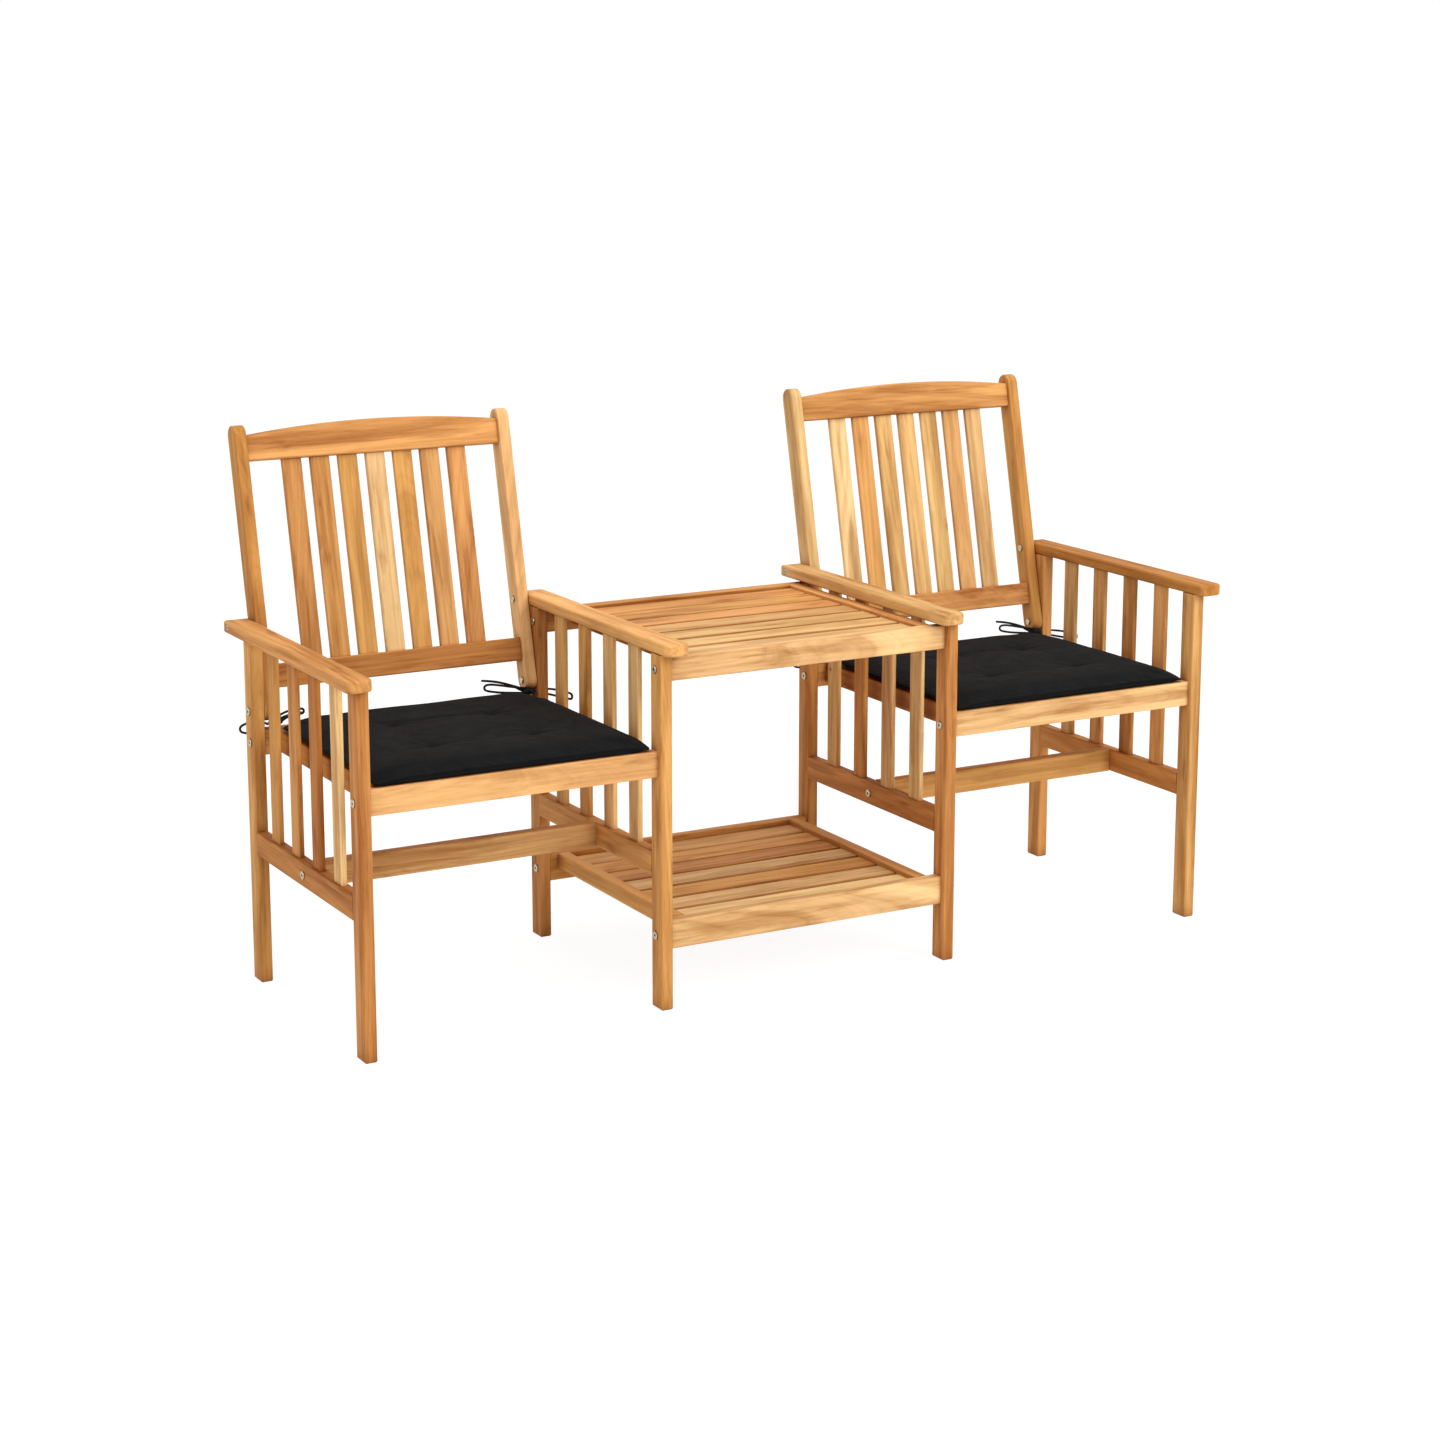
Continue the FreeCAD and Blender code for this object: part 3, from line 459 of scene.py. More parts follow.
def part_of(tree, vector, axis):
    """A vector's part along one axis."""
    return shade(tree, "SeparateXYZ", {0: vector}).outputs[axis]


def fine_noise(tree, place, scale, detail):
    """A noise texture whose scale is given for each axis."""
    place = stretch(tree, place, scale)
    inputs = {"Vector": place, "Scale": 1.0, "Detail": detail, "Roughness": 0.6}
    return shade(tree, "TexNoise", inputs)


def ring_noise(tree, radius, rate, board, detail):
    """Noise in rings round a board's pith, at some rate, and not alike in two boards."""
    place = calculate(tree, "MULTIPLY_ADD", radius, rate, board)
    inputs = {"W": place, "Scale": 1.0, "Detail": detail}
    return shade(tree, "TexNoise", inputs, noise_dimensions="1D").outputs["Fac"]


def weighed(tree, parts, weights, start=None):
    """The sum of some parts, each times its weight, added to a start."""
    total = start
    for name, weight in weights.items():
        if total is None:
            total = calculate(tree, "MULTIPLY", parts[name], weight)
        else:
            total = calculate(tree, "MULTIPLY_ADD", parts[name], weight, total)
    return total


def between(tree, value, low, high, start=0.0, end=1.0):
    """A value mapped smoothly from low-high to start-end."""
    inputs = {"Value": value, "From Min": low, "From Max": high, "To Min": start, "To Max": end}
    node = shade(tree, "MapRange", inputs, interpolation_type="SMOOTHSTEP")
    return node.outputs["Result"]


def blend_colours(tree, factor, first, second, mode="MIX"):
    """Two colours mixed by a factor."""
    node = shade(tree, "Mix", data_type="RGBA", blend_type=mode)
    sockets = [s for s in node.inputs if s.enabled and s.type in ("VALUE", "RGBA")]
    colours = [s for s in sockets if s.type == "RGBA"]
    feed(tree, (sockets[0], *colours), {0: factor, 1: first, 2: second})
    return next(s for s in node.outputs if s.enabled)


def multiplied(tree, colour, factors):
    """A colour times another."""
    return blend_colours(tree, 1.0, colour, factors, "MULTIPLY")


def new_material(name):
    """A material with an empty tree, and its shader."""
    material = bpy.data.materials.new(name)
    material.use_nodes = True
    return material, material.node_tree, material.node_tree.nodes["Principled BSDF"]


def raised(tree, height, distance, strength):
    """The normal of a surface that is raised by some height."""
    inputs = {"Height": height, "Distance": distance, "Strength": strength}
    return shade(tree, "Bump", inputs).outputs[0]


def opaque(colour):
    """A colour with its fourth channel."""
    return (*colour, 1.0)


def knots_of_board(tree, place):
    """How near a place is to a knot, and whether it is on one, from 0 to 1."""
    knots = shade(tree, "TexVoronoi", {"Vector": place, "Scale": 11.0}).outputs
    rare = between(tree, part_of(tree, knots["Color"], 0), 0.70, 0.72)
    near = between(tree, knots["Distance"], 0.02, 0.20, 1.0, 0.0)
    inside = between(tree, knots["Distance"], 0.03, 0.065, 1.0, 0.0)
    return [calculate(tree, "MULTIPLY", part, rare) for part in (near, inside)]


def off_middle(tree, colour):
    """A colour's channels from -0.5 to 0.5."""
    return added(tree, colour, (-0.5, -0.5, -0.5))


def pith_distance(tree, local, place, lot):
    """The distance from a board's pith, which sways and leans along the board."""
    sway = fine_noise(tree, place, (6.0, 6.0, 1.9), 2.0).outputs["Color"]
    sway = stretch(tree, off_middle(tree, sway), (0.040, 0.040, 0.0))
    pith = stretch(tree, off_middle(tree, lot), (0.15, 0.15, 0.0))
    lean = calculate(tree, "MULTIPLY_ADD", part_of(tree, lot, 1), 0.22, -0.11)
    lean = calculate(tree, "MULTIPLY", lean, part_of(tree, local, 2))
    lean = shade(tree, "CombineXYZ", {0: lean, 1: lean}).outputs[0]
    flat = stretch(tree, local, (1.0, 1.0, 0.0))
    centre = added(tree, added(tree, flat, sway), added(tree, pith, lean))
    return shade(tree, "VectorMath", {0: centre}, operation="LENGTH").outputs["Value"]


def board_colour_with_painted_shade(tree, tone, depth, lot_parts):
    """A board's colour from its tone and the depth of its figure, with painted shade in close
    corners.
    """
    look = bpy.context.scene.bench_wood
    base = shade(tree, "ValToRGB", {"Fac": tone})
    base.color_ramp.elements[0].color = opaque(look.brown)
    base.color_ramp.elements[1].color = opaque(look.pale)
    base.color_ramp.elements.new(0.5).color = opaque(look.honey)
    light = multiplied(tree, base.outputs["Color"], EARLY_WOOD)
    dark = multiplied(tree, base.outputs["Color"], LATE_WOOD)
    colour = blend_colours(tree, depth, light, dark)
    value = calculate(tree, "MULTIPLY_ADD", lot_parts[0], 0.10, 0.95)
    hue = calculate(tree, "MULTIPLY_ADD", lot_parts[1], 0.010, 0.495)
    tinted = shade(tree, "HueSaturation", {"Hue": hue, "Value": value, "Color": colour})
    # Painted shade: the colour is darkened where ambient occlusion finds other surfaces close by
    reach = shade(tree, "AmbientOcclusion", {"Distance": CORNER_REACH}, samples=8)
    painted_shade_share = between(tree, reach.outputs["AO"], 0.10, 0.90, 1.0, 0.0)
    painted_corner_shade = multiplied(tree, tinted.outputs[0], CORNER_PAINTED_SHADE)
    return blend_colours(tree, painted_shade_share, tinted.outputs[0], painted_corner_shade)


def wood_figure():
    """The node group that draws one board, from places about its middle, its grain along Z."""
    look = bpy.context.scene.bench_wood
    tree = bpy.data.node_groups.new("oiled_board", "ShaderNodeTree")
    sockets = {
        "INPUT": {"Place": "Vector", "Board": "Float", "Tone": "Float"},
        "OUTPUT": {"Colour": "Color", "Roughness": "Float", "Relief": "Float"},
    }
    for side, kinds in sockets.items():
        for name, kind in kinds.items():
            tree.interface.new_socket(name=name, in_out=side, socket_type="NodeSocket" + kind)
    given = tree.nodes.new("NodeGroupInput").outputs
    lot = shade(tree, "TexWhiteNoise", {"W": given["Board"]}, noise_dimensions="1D")
    lot = lot.outputs["Color"]
    lot_parts = [part_of(tree, lot, axis) for axis in range(3)]
    place = added(tree, given["Place"], stretch(tree, lot, (7.0, 5.0, 9.0)))

    near_knot, knot = knots_of_board(tree, place)
    radius = pith_distance(tree, given["Place"], place, lot)
    radius = calculate(tree, "MULTIPLY_ADD", near_knot, 0.004, radius)
    parts = {
        name: between(tree, fine_noise(tree, place, scale, detail).outputs["Fac"], low, high)
        for name, (scale, detail, low, high) in GRAIN_NOISES.items()
    }
    elsewhere = added(tree, place, (3.1, 1.7, 2.3))
    smudge = fine_noise(tree, elsewhere, (26.0, 26.0, 6.0), 4.0).outputs["Fac"]
    parts["smudge"] = between(tree, smudge, 0.57, 0.75)
    parts["near_knot"] = near_knot
    rings = ring_noise(tree, radius, 1 / look.ring_spacing, given["Board"], 1.0)
    parts["band"] = between(tree, rings, 0.30, 0.70)
    lines = ring_noise(tree, radius, 4.6 / look.ring_spacing, given["Board"], 2.0)
    parts["line"] = between(tree, lines, 0.40, 0.80)
    edge = calculate(tree, "MULTIPLY_ADD", lot_parts[2], 0.10, 0.02)
    edge = calculate(tree, "MULTIPLY_ADD", parts["flame"], 0.006, edge)
    heart = calculate(tree, "SUBTRACT", radius, edge)
    parts["heart"] = between(tree, heart, -0.004, 0.005, 1.0, 0.0)

    depth = weighed(tree, parts, FIGURE_WEIGHTS)
    depth = calculate(tree, "MULTIPLY", depth, look.figure)
    depth = weighed(tree, parts, MARK_WEIGHTS, depth)
    depth = calculate(tree, "MAXIMUM", depth, calculate(tree, "MULTIPLY", knot, KNOT_WEIGHT))

    relief = calculate(tree, "MULTIPLY", parts["streak"], -0.35)
    feed(tree, tree.nodes.new("NodeGroupOutput").inputs, {
        "Colour": board_colour_with_painted_shade(tree, given["Tone"], depth, lot_parts),
        "Roughness": calculate(tree, "MULTIPLY_ADD", parts["streak"], 0.14, 0.52),
        "Relief": calculate(tree, "MULTIPLY_ADD", parts["pore"], -1.0, relief),
    })
    return tree


def board_kind(node):
    """A wooden node's turn that lays its grain along Z, its count of boards and their axis."""
    along_x, along_y, along_z = (0, -math.pi / 2, 0), (math.pi / 2, 0, 0), (0, 0, 0)
    for ending, count in SLATS_IN_SET.items():
        if node.endswith(ending):
            upright = along_z if ending == "side_slats" else (BACK_LEAN, 0, 0)
            turn = upright if ending in ("side_slats", "back_slats") else along_x
            return turn, count, 0 if ending == "back_slats" else 1
    if node.endswith("side_rails"):
        return along_y, 2, 0
    if node.endswith(("armrest", "side_rail")):
        return along_y, 1, 0
    if node.endswith("leg"):
        return along_z, 1, 0
    if node.endswith("post"):
        return (BACK_LEAN, 0, 0), 1, 0
    return along_x, 1, 0


def tone_of(node):
    """A wooden node's tone, or the tones of its slats."""
    side, _, kind = node.partition("_")
    if kind in CHAIR_TONES:
        return CHAIR_TONES[kind][side == "right"]
    return MIDDLE_TONES.get(node, USUAL_TONE)


def slat_index(tree, place, node, count, axis):
    """For each slat of a set, its number from 0, and how far its middle is from the set's."""
    low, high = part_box(node)
    pitch = (high[axis] - low[axis]) / count
    part = part_of(tree, place, axis)
    number = calculate(tree, "MULTIPLY_ADD", part, 1 / pitch, -low[axis] / pitch)
    number = calculate(tree, "FLOOR", number)
    shift = calculate(tree, "MULTIPLY_ADD", number, pitch, (0.5 - count / 2) * pitch)
    return number, shift


def tone_of_slat(tree, number, tones):
    """The tone of each slat of a set, by its number."""
    share = calculate(tree, "DIVIDE", calculate(tree, "ADD", number, 0.5), float(len(tones)))
    ramp = shade(tree, "ValToRGB", {"Fac": share})
    ramp.color_ramp.interpolation = "CONSTANT"
    stops = ramp.color_ramp.elements
    stops.remove(stops[1])
    stops[0].color = opaque((tones[0],) * 3)
    for index, tone in enumerate(tones[1:], start=1):
        stops.new(index / len(tones)).color = opaque((tone,) * 3)
    return ramp.outputs["Color"]


def rim_of_slat(tree, local, width):
    """How near a place is to a long edge of a slat that lies along the bench, from 0 to 1, for the
    painted shade along it.
    """
    rim = bpy.context.scene.bench_wood.rim
    across = calculate(tree, "ABSOLUTE", part_of(tree, local, 1))
    return between(tree, across, width / 2 - rim, width / 2 - rim * 0.4)


def board_material(node, seed, group):
    """The oiled finish of one wooden node."""
    turn, count, axis = board_kind(node)
    low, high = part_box(node)
    material, tree, shader = new_material("oiled_" + node)
    place = shade(tree, "TexCoord").outputs["Object"]
    local = added(tree, place, (-(low + high) / 2)[:])
    number, tone = seed + BOARD_OFFSET, tone_of(node)
    if count > 1:
        index, shift = slat_index(tree, place, node, count, axis)
        away = shade(tree, "CombineXYZ", {axis: shift}).outputs[0]
        local = calculate_vector(tree, "SUBTRACT", local, away)
        number = calculate(tree, "ADD", index, number)
        if isinstance(tone, tuple):
            tone = tone_of_slat(tree, index, tone)
    along = shade(tree, "Mapping", {"Vector": local, "Rotation": turn}).outputs[0]
    board = shade(tree, "Group", node_tree=group)
    feed(tree, board.inputs, {"Place": along, "Board": number, "Tone": tone})
    colour = board.outputs["Colour"]
    # Painted shade along the slats' long edges, beside the gaps between them
    if node.endswith(DECK_SLATS):
        rim = rim_of_slat(tree, local, DECK_SLAT_WIDTH)
        colour = blend_colours(tree, rim, colour, multiplied(tree, colour, RIM_PAINTED_SHADE))
    relief = bpy.context.scene.bench_wood.relief
    feed(tree, shader.inputs, {
        "Base Color": colour,
        "Roughness": board.outputs["Roughness"],
        "Specular IOR Level": 0.08,
        "Normal": raised(tree, board.outputs["Relief"], relief, 0.6),
    })
    return material


def give_finish(node, material):
    """Puts one material on all of a CAD node."""
    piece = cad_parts[node]
    piece.data.materials.clear()
    piece.data.materials.append(material)


def finish_boards(names):
    """Gives each wooden node its own board material."""
    group = bpy.data.node_groups.get("oiled_board") or wood_figure()
    order = sorted(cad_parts)
    for node in names:
        give_finish(node, board_material(node, order.index(node) * BOARD_STEP, group))


def nodes_like(pattern):
    """The CAD nodes whose names have a pattern in them."""
    return [node for node in sorted(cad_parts) if re.search(pattern, node)]


def zinc_material():
    """Yellow zinc, a little uneven, with painted shade round the heads' edges and fine turning
    marks.
    """
    look = bpy.context.scene.bench_metal
    material, tree, shader = new_material("yellow_zinc")
    place = shade(tree, "TexCoord").outputs["Object"]
    cloud = shade(tree, "TexNoise", {"Vector": place, "Scale": 260.0, "Detail": 3.0})
    tarnish = between(tree, cloud.outputs["Fac"], 0.35, 0.75)
    dull = Vector(look.plating) * 0.72
    colour = blend_colours(tree, tarnish, opaque(look.plating), opaque(dull))
    # Painted shade: the zinc is darkened where ambient occlusion finds the wood close round a head
    reach = shade(tree, "AmbientOcclusion", {"Distance": HEAD_REACH}, samples=6)
    painted_shade_share = between(tree, reach.outputs["AO"], 0.40, 0.98, 1.0, 0.0)
    drawn = stretch(tree, place, (900.0, 2600.0, 2600.0))
    marks = shade(tree, "TexNoise", {"Vector": drawn, "Scale": 1.0}).outputs["Fac"]
    feed(tree, shader.inputs, {
        "Base Color": blend_colours(tree, painted_shade_share, colour, HEAD_PAINTED_SHADE),
        "Roughness": calculate(tree, "MULTIPLY_ADD", tarnish, 0.2, 0.26),
        "Metallic": 1.0,
        "Normal": raised(tree, marks, 0.00004, 0.5),
    })
    return material


def cloth_material():
    """Plain-woven black cloth with a faint sheen, its threads along the bench and across it."""
    look = bpy.context.scene.bench_cushion
    material, tree, shader = new_material("woven_cloth")
    place = shade(tree, "TexCoord").outputs["Object"]
    waves = []
    for direction in ("X", "Y", "Z"):
        inputs = {"Vector": place, "Scale": 340.0, "Distortion": 0.6, "Detail": 1.0}
        wave = shade(tree, "TexWave", inputs | {"Detail Scale": 3.0}, bands_direction=direction)
        waves.append(wave.outputs["Fac"])
    weave = calculate(tree, "MULTIPLY", waves[0], waves[1])
    weave = calculate(tree, "MULTIPLY_ADD", waves[2], 0.4, weave)
    inputs = {"Vector": place, "Scale": 38.0, "Detail": 6.0, "Roughness": 0.65}
    lint = shade(tree, "TexNoise", inputs)
    patch = between(tree, lint.outputs["Fac"], 0.35, 0.7)
    dark = Vector(look.cloth)
    thread = blend_colours(tree, weave, opaque(dark * 0.65), opaque(dark * 1.7))
    worn = calculate(tree, "MULTIPLY", patch, 0.35)
    feed(tree, shader.inputs, {
        "Base Color": blend_colours(tree, worn, thread, opaque(dark * 1.9)),
        "Roughness": calculate(tree, "MULTIPLY_ADD", patch, -0.08, 0.92),
        "Specular IOR Level": 0.04,
        "Sheen Weight": 0.02,
        "Sheen Roughness": 0.45,
        "Normal": raised(tree, weave, 0.0002, 0.7),
    })
    return material


def cord_material():
    """Braided black cord, its strands crossing on the slant."""
    look = bpy.context.scene.bench_tie
    material, tree, shader = new_material("braided_cord")
    place = shade(tree, "TexCoord").outputs["Object"]
    strands = []
    for turn in ((0.5, 0.6, 0.785), (-0.6, 0.5, -0.785)):
        slant = shade(tree, "Mapping", {"Vector": place, "Rotation": turn}).outputs[0]
        inputs = {"Vector": slant, "Scale": 420.0, "Distortion": 0.8, "Detail": 1.0}
        strands.append(shade(tree, "TexWave", inputs).outputs["Fac"])
    braid = calculate(tree, "MAXIMUM", *strands)
    dark = Vector(look.cord)
    feed(tree, shader.inputs, {
        "Base Color": blend_colours(tree, braid, opaque(dark * 0.5), opaque(dark * 1.7)),
        "Roughness": calculate(tree, "MULTIPLY_ADD", braid, -0.15, 0.75),
        "Specular IOR Level": 0.08,
        "Sheen Weight": 0.02,
        "Normal": raised(tree, braid, 0.0004, 0.8),
    })
    return material


def new_piece(name, data):
    """An object of one mesh, curve, lamp or camera, in the scene."""
    piece = bpy.data.objects.new(name, data)
    bpy.context.scene.collection.objects.link(piece)
    return piece


def smooth(mesh):
    """Shades a mesh smoothly."""
    mesh.polygons.foreach_set("use_smooth", [True] * len(mesh.polygons))
    mesh.update()


def piece_from(name, made):
    """An object of a mesh that has been built up, which is freed."""
    data = bpy.data.meshes.new(name)
    made.to_mesh(data)
    made.free()
    return new_piece(name, data)


def evaluated(piece):
    """A piece as its modifiers leave it."""
    return piece.evaluated_get(bpy.context.evaluated_depsgraph_get())


def apply_modifiers(piece):
    """Replaces a piece's mesh with what its modifiers make of it."""
    made = bpy.data.meshes.new_from_object(evaluated(piece))
    piece.modifiers.clear()
    old, piece.data = piece.data, made
    bpy.data.meshes.remove(old)


def tuft_places(node):
    """Where a cushion's four tufts are, on its plan."""
    look = bpy.context.scene.bench_cushion
    low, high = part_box(node)
    middle = (low.x + high.x) / 2
    rows = (low.y + look.tuft_front, low.y + look.tuft_rear)
    return [Vector((middle + side * look.tuft_across / 2, y)) for side in (-1, 1) for y in rows]


def fading(distance, reach):
    """A bell curve, 1 at no distance and nearly 0 at twice its reach."""
    return math.exp(-((distance / reach) ** 2))


def tuft_pull(place, tufts):
    """How strongly the tufts draw at one place, from 0 to 1: a pit in a wide hollow."""
    near = min(math.hypot((place.x - tuft.x) / TUFT_WIDTH, place.y - tuft.y) for tuft in tufts)
    return fading(near, PIT_REACH) * PIT_SHARE + fading(near, HOLLOW_REACH) * (1 - PIT_SHARE)


def pad_share(co, low, high):
    """How full a cushion is at one place of its plan, from 0 at its seam to 1 well inside."""
    look = bpy.context.scene.bench_cushion
    side = min(co.x - low.x, high.x - co.x) / look.edge_width
    front = (co.y - low.y) / look.edge_width
    rear = (high.y - co.y) / look.rear_edge_width
    inside = min(1.0, max(0.0, min(side, front, rear)))
    return 1 - (1 - inside) ** 3


def corner_press(co, low, high):
    """The share of its height that a cushion keeps at one place, least at its corners."""
    look = bpy.context.scene.bench_cushion
    gap_x = min(co.x - low.x, high.x - co.x)
    gap_y = min(co.y - low.y, high.y - co.y)
    return 1 - CORNER_LOSS * fading(math.hypot(gap_x, gap_y), look.corner_reach)


def cushion_blank(node):
    """The cushion's CAD solid, evenly meshed, thin at its edges and drawn in at its tufts."""
    look = bpy.context.scene.bench_cushion
    piece = new_piece(node + "_pad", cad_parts[node].data.copy())
    remesh = piece.modifiers.new("even_mesh", "REMESH")
    remesh.mode = "VOXEL"
    remesh.voxel_size = look.voxel
    apply_modifiers(piece)
    low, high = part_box(node)
    centre = (low + high) / 2
    tufts = tuft_places(node)
    half = (high - low) / 2
    for vertex in piece.data.vertices:
        offset = vertex.co - centre
        offset.x *= 1 - look.swell * ROOM_TO_SWELL / half.x
        offset.y *= 1 - look.swell * ROOM_TO_SWELL / half.y
        vertex.co = centre + offset
        height = vertex.co.z - low.z
        if height > look.seam_height:
            full = (height - look.seam_height) / (high.z - low.z - look.seam_height)
            crown = EDGE_SHARE + (1 - EDGE_SHARE) * pad_share(vertex.co, low, high)
            height = look.seam_height + full * crown * look.loft
            height -= tuft_pull(vertex.co.xy, tufts) * look.tuft_depth
        vertex.co.z = low.z + height * corner_press(vertex.co, low, high)
    return piece


def fill_with_air(piece, tufts, floor_z):
    """Swells a pad with Blender's cloth, held at its tufts, with its movement capped."""
    look = bpy.context.scene.bench_cushion
    rest = [vertex.co.copy() for vertex in piece.data.vertices]
    held = piece.vertex_groups.new(name="tufts")
    for index, co in enumerate(rest):
        near = min((co.xy - tuft).length for tuft in tufts)
        at_tuft = near < TUFT_HOLD and co.z > floor_z + look.seam_height
        if at_tuft or co.z < floor_z + BASE_HOLD:
            held.add([index], 1.0, "REPLACE")
    cloth = piece.modifiers.new("filling", "CLOTH")
    for name, value in AIR_SETTINGS.items():
        setattr(cloth.settings, name, value)
    cloth.settings.effector_weights.gravity = 0.0
    cloth.collision_settings.use_collision = False
    cloth.point_cache.frame_start = 1
    cloth.point_cache.frame_end = AIR_FRAMES
    scene = bpy.context.scene
    for step in range(1, AIR_FRAMES + 1):
        scene.frame_set(step)
    swollen = [vertex.co.copy() for vertex in evaluated(piece).data.vertices]
    piece.modifiers.clear()
    piece.vertex_groups.clear()
    scene.frame_set(1)
    for vertex, start, end in zip(piece.data.vertices, rest, swollen):
        step = end - start
        if step.length > look.swell:
            step *= look.swell / step.length
        step.z *= look.softness
        vertex.co = start + step
        vertex.co.z = max(vertex.co.z, floor_z)


def wrinkle(piece, node, tufts):
    """Adds folds round the tufts, puckers along the edges and lumps of filling."""
    look = bpy.context.scene.bench_cushion
    low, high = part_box(node)
    for vertex in piece.data.vertices:
        co = vertex.co
        if co.z < low.z + look.seam_height:
            continue
        tuft = min(tufts, key=lambda place: (co.xy - place).length)
        spoke = co.xy - tuft
        fade = fading(spoke.length, FOLD_REACH)
        angle = math.atan2(spoke.y, spoke.x)
        turn = 3 * noise.noise(Vector((tuft.x, tuft.y, 0)) * 40)
        folds = math.sin(angle * FOLDS + turn) * FOLD_HEIGHT * fade
        lumps = noise.noise(Vector((co.x * 9, co.y * 9, 3.0))) * LUMP_HEIGHT
        edge = min(co.x - low.x, high.x - co.x, co.y - low.y, high.y - co.y)
        puckers = fading(edge, PUCKER_REACH) * PUCKER_HEIGHT
        puckers *= math.sin((co.x + co.y) * PUCKER_RATE + 4 * noise.noise(co * 22))
        co.z += folds + lumps * min(1.0, edge / LUMP_MARGIN) + puckers


def seam_line(piece, node, height):
    """A closed line through a pad's outermost points at the height of its seam."""
    low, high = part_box(node)
    centre = ((low + high) / 2).xy
    outermost = {}
    for vertex in piece.data.vertices:
        co = vertex.co
        if abs(co.z - low.z - height * corner_press(co, low, high)) > SEAM_BAND:
            continue
        spoke = co.xy - centre
        turn = math.atan2(spoke.y, spoke.x) / (2 * math.pi)
        index = int(turn * SEAM_SPOKES) % SEAM_SPOKES
        if index not in outermost or spoke.length > (outermost[index] - centre).length:
            outermost[index] = co.xy
    line = [outermost[index] for index in sorted(outermost)]
    onward = line[1:] + line[:1]
    line = [(line[i - 1] + at * 2 + onward[i]) / 4 for i, at in enumerate(line)]
    heights = [low.z + height * corner_press(at, low, high) for at in line]
    return [Vector((at.x, at.y, z)) for at, z in zip(line, heights)]


def add_ring(made, point, outward, radius, sides):
    """Adds a ring of points round a point, upright and along a level direction."""
    angles = [2 * math.pi * side / sides for side in range(sides)]
    spokes = [outward * math.cos(angle) + UP * math.sin(angle) for angle in angles]
    return [made.verts.new(point + spoke * radius) for spoke in spokes]


def join_rings(made, rings, following):
    """Adds the faces between each ring of points and the one that follows it."""
    for ring, other in zip(rings, following):
        for side, corner in enumerate(ring):
            turn = (side + 1) % len(ring)
            made.faces.new((corner, ring[turn], other[turn], other[side]))


def tube_piece(name, made):
    """A smooth object of tubes that have been built up, with all faces outwards."""
    bmesh.ops.recalc_face_normals(made, faces=made.faces)
    piece = piece_from(name, made)
    smooth(piece.data)
    return piece


def swept_tube(name, line, radius):
    """A closed tube along a closed line."""
    made = bmesh.new()
    rings = []
    for index, point in enumerate(line):
        onward = (line[(index + 1) % len(line)] - line[index - 1]).normalized()
        outward = onward.cross(UP).normalized()
        rings.append(add_ring(made, point, outward, radius, PIPING_SIDES))
    join_rings(made, rings, rings[1:] + rings[:1])
    return tube_piece(name, made)


def tuft_stitch(name, place, top_z):
    """The small crossed stitches that hold one tuft."""
    made = bmesh.new()
    for turn in (STITCH_TURN, STITCH_TURN + math.pi / 2):
        axis = Vector((math.cos(turn), math.sin(turn), 0))
        across = Vector((-axis.y, axis.x, 0))
        rings = []
        for index in range(STITCH_RINGS):
            share = index / (STITCH_RINGS - 1) * 2 - 1
            point = Vector((place.x, place.y, top_z)) + axis * share * STITCH_LENGTH / 2
            point.z += STITCH_ARCH * (1 - share * share)
            thin = STITCH_RADIUS * math.sqrt(max(0.04, 1 - share ** 4))
            rings.append(add_ring(made, point, across, thin, STITCH_SIDES))
        join_rings(made, rings[:-1], rings[1:])
        made.faces.new(rings[0][::-1])
        made.faces.new(rings[-1])
    return tube_piece(name, made)


def surface_height(piece, place):
    """The height of a pad's top at one place of its plan."""
    found, point, _, _ = piece.ray_cast(Vector((place.x, place.y, 2.0)), -UP)
    if not found:
        raise RuntimeError("no cloth below a tuft")
    return point.z


def make_cushion(node, material):
    """One cushion with its piping and its tufts' stitches."""
    look = bpy.context.scene.bench_cushion
    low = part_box(node)[0]
    tufts = tuft_places(node)
    piece = cushion_blank(node)
    fill_with_air(piece, tufts, low.z)
    wrinkle(piece, node, tufts)
    subdivide = piece.modifiers.new("smoother", "SUBSURF")
    subdivide.levels = 1
    subdivide.render_levels = 1
    apply_modifiers(piece)
    smooth(piece.data)
    piece.data.materials.clear()
    piece.data.materials.append(material)
    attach(piece, BODY)
    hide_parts(node)
    seam = seam_line(piece, node, look.seam_height)
    trims = [swept_tube(node + "_piping", seam, look.piping)]
    for index, place in enumerate(tufts, start=1):
        top_z = surface_height(piece, place) + STITCH_LIFT
        trims.append(tuft_stitch("%s_tuft_%d" % (node, index), place, top_z))
    for trim in trims:
        trim.data.materials.append(material)
        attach(trim, BODY)


def tie_points(node):
    """A tie's route in the bench's own axes."""
    route, into_seat = TIES[node]
    side, frame_name = node.split("_")[:2]
    leg_low, leg_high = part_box("%s_%s_rear_leg" % (side, frame_name))
    seat_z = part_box(side + "_seat_slats")[1].z
    edge_x = leg_high.x if into_seat > 0 else leg_low.x
    points = []
    for into, back, up in route:
        points.append(Vector((edge_x + into_seat * into, leg_low.y + back, seat_z + up)))
    return points


def route_curve(name, points, radius):
    """A smooth curve along a route, as thick as the cord."""
    data = bpy.data.curves.new(name, "CURVE")
    data.dimensions = "3D"
    spline = data.splines.new("NURBS")
    spline.points.add(len(points) - 1)
    for control, point in zip(spline.points, points):
        control.co = (*point, 1.0)
    spline.order_u = 3
    spline.use_endpoint_u = True
    spline.resolution_u = 8
    data.bevel_depth = radius
    data.bevel_resolution = 3
    data.use_fill_caps = True
    return new_piece(name, data)


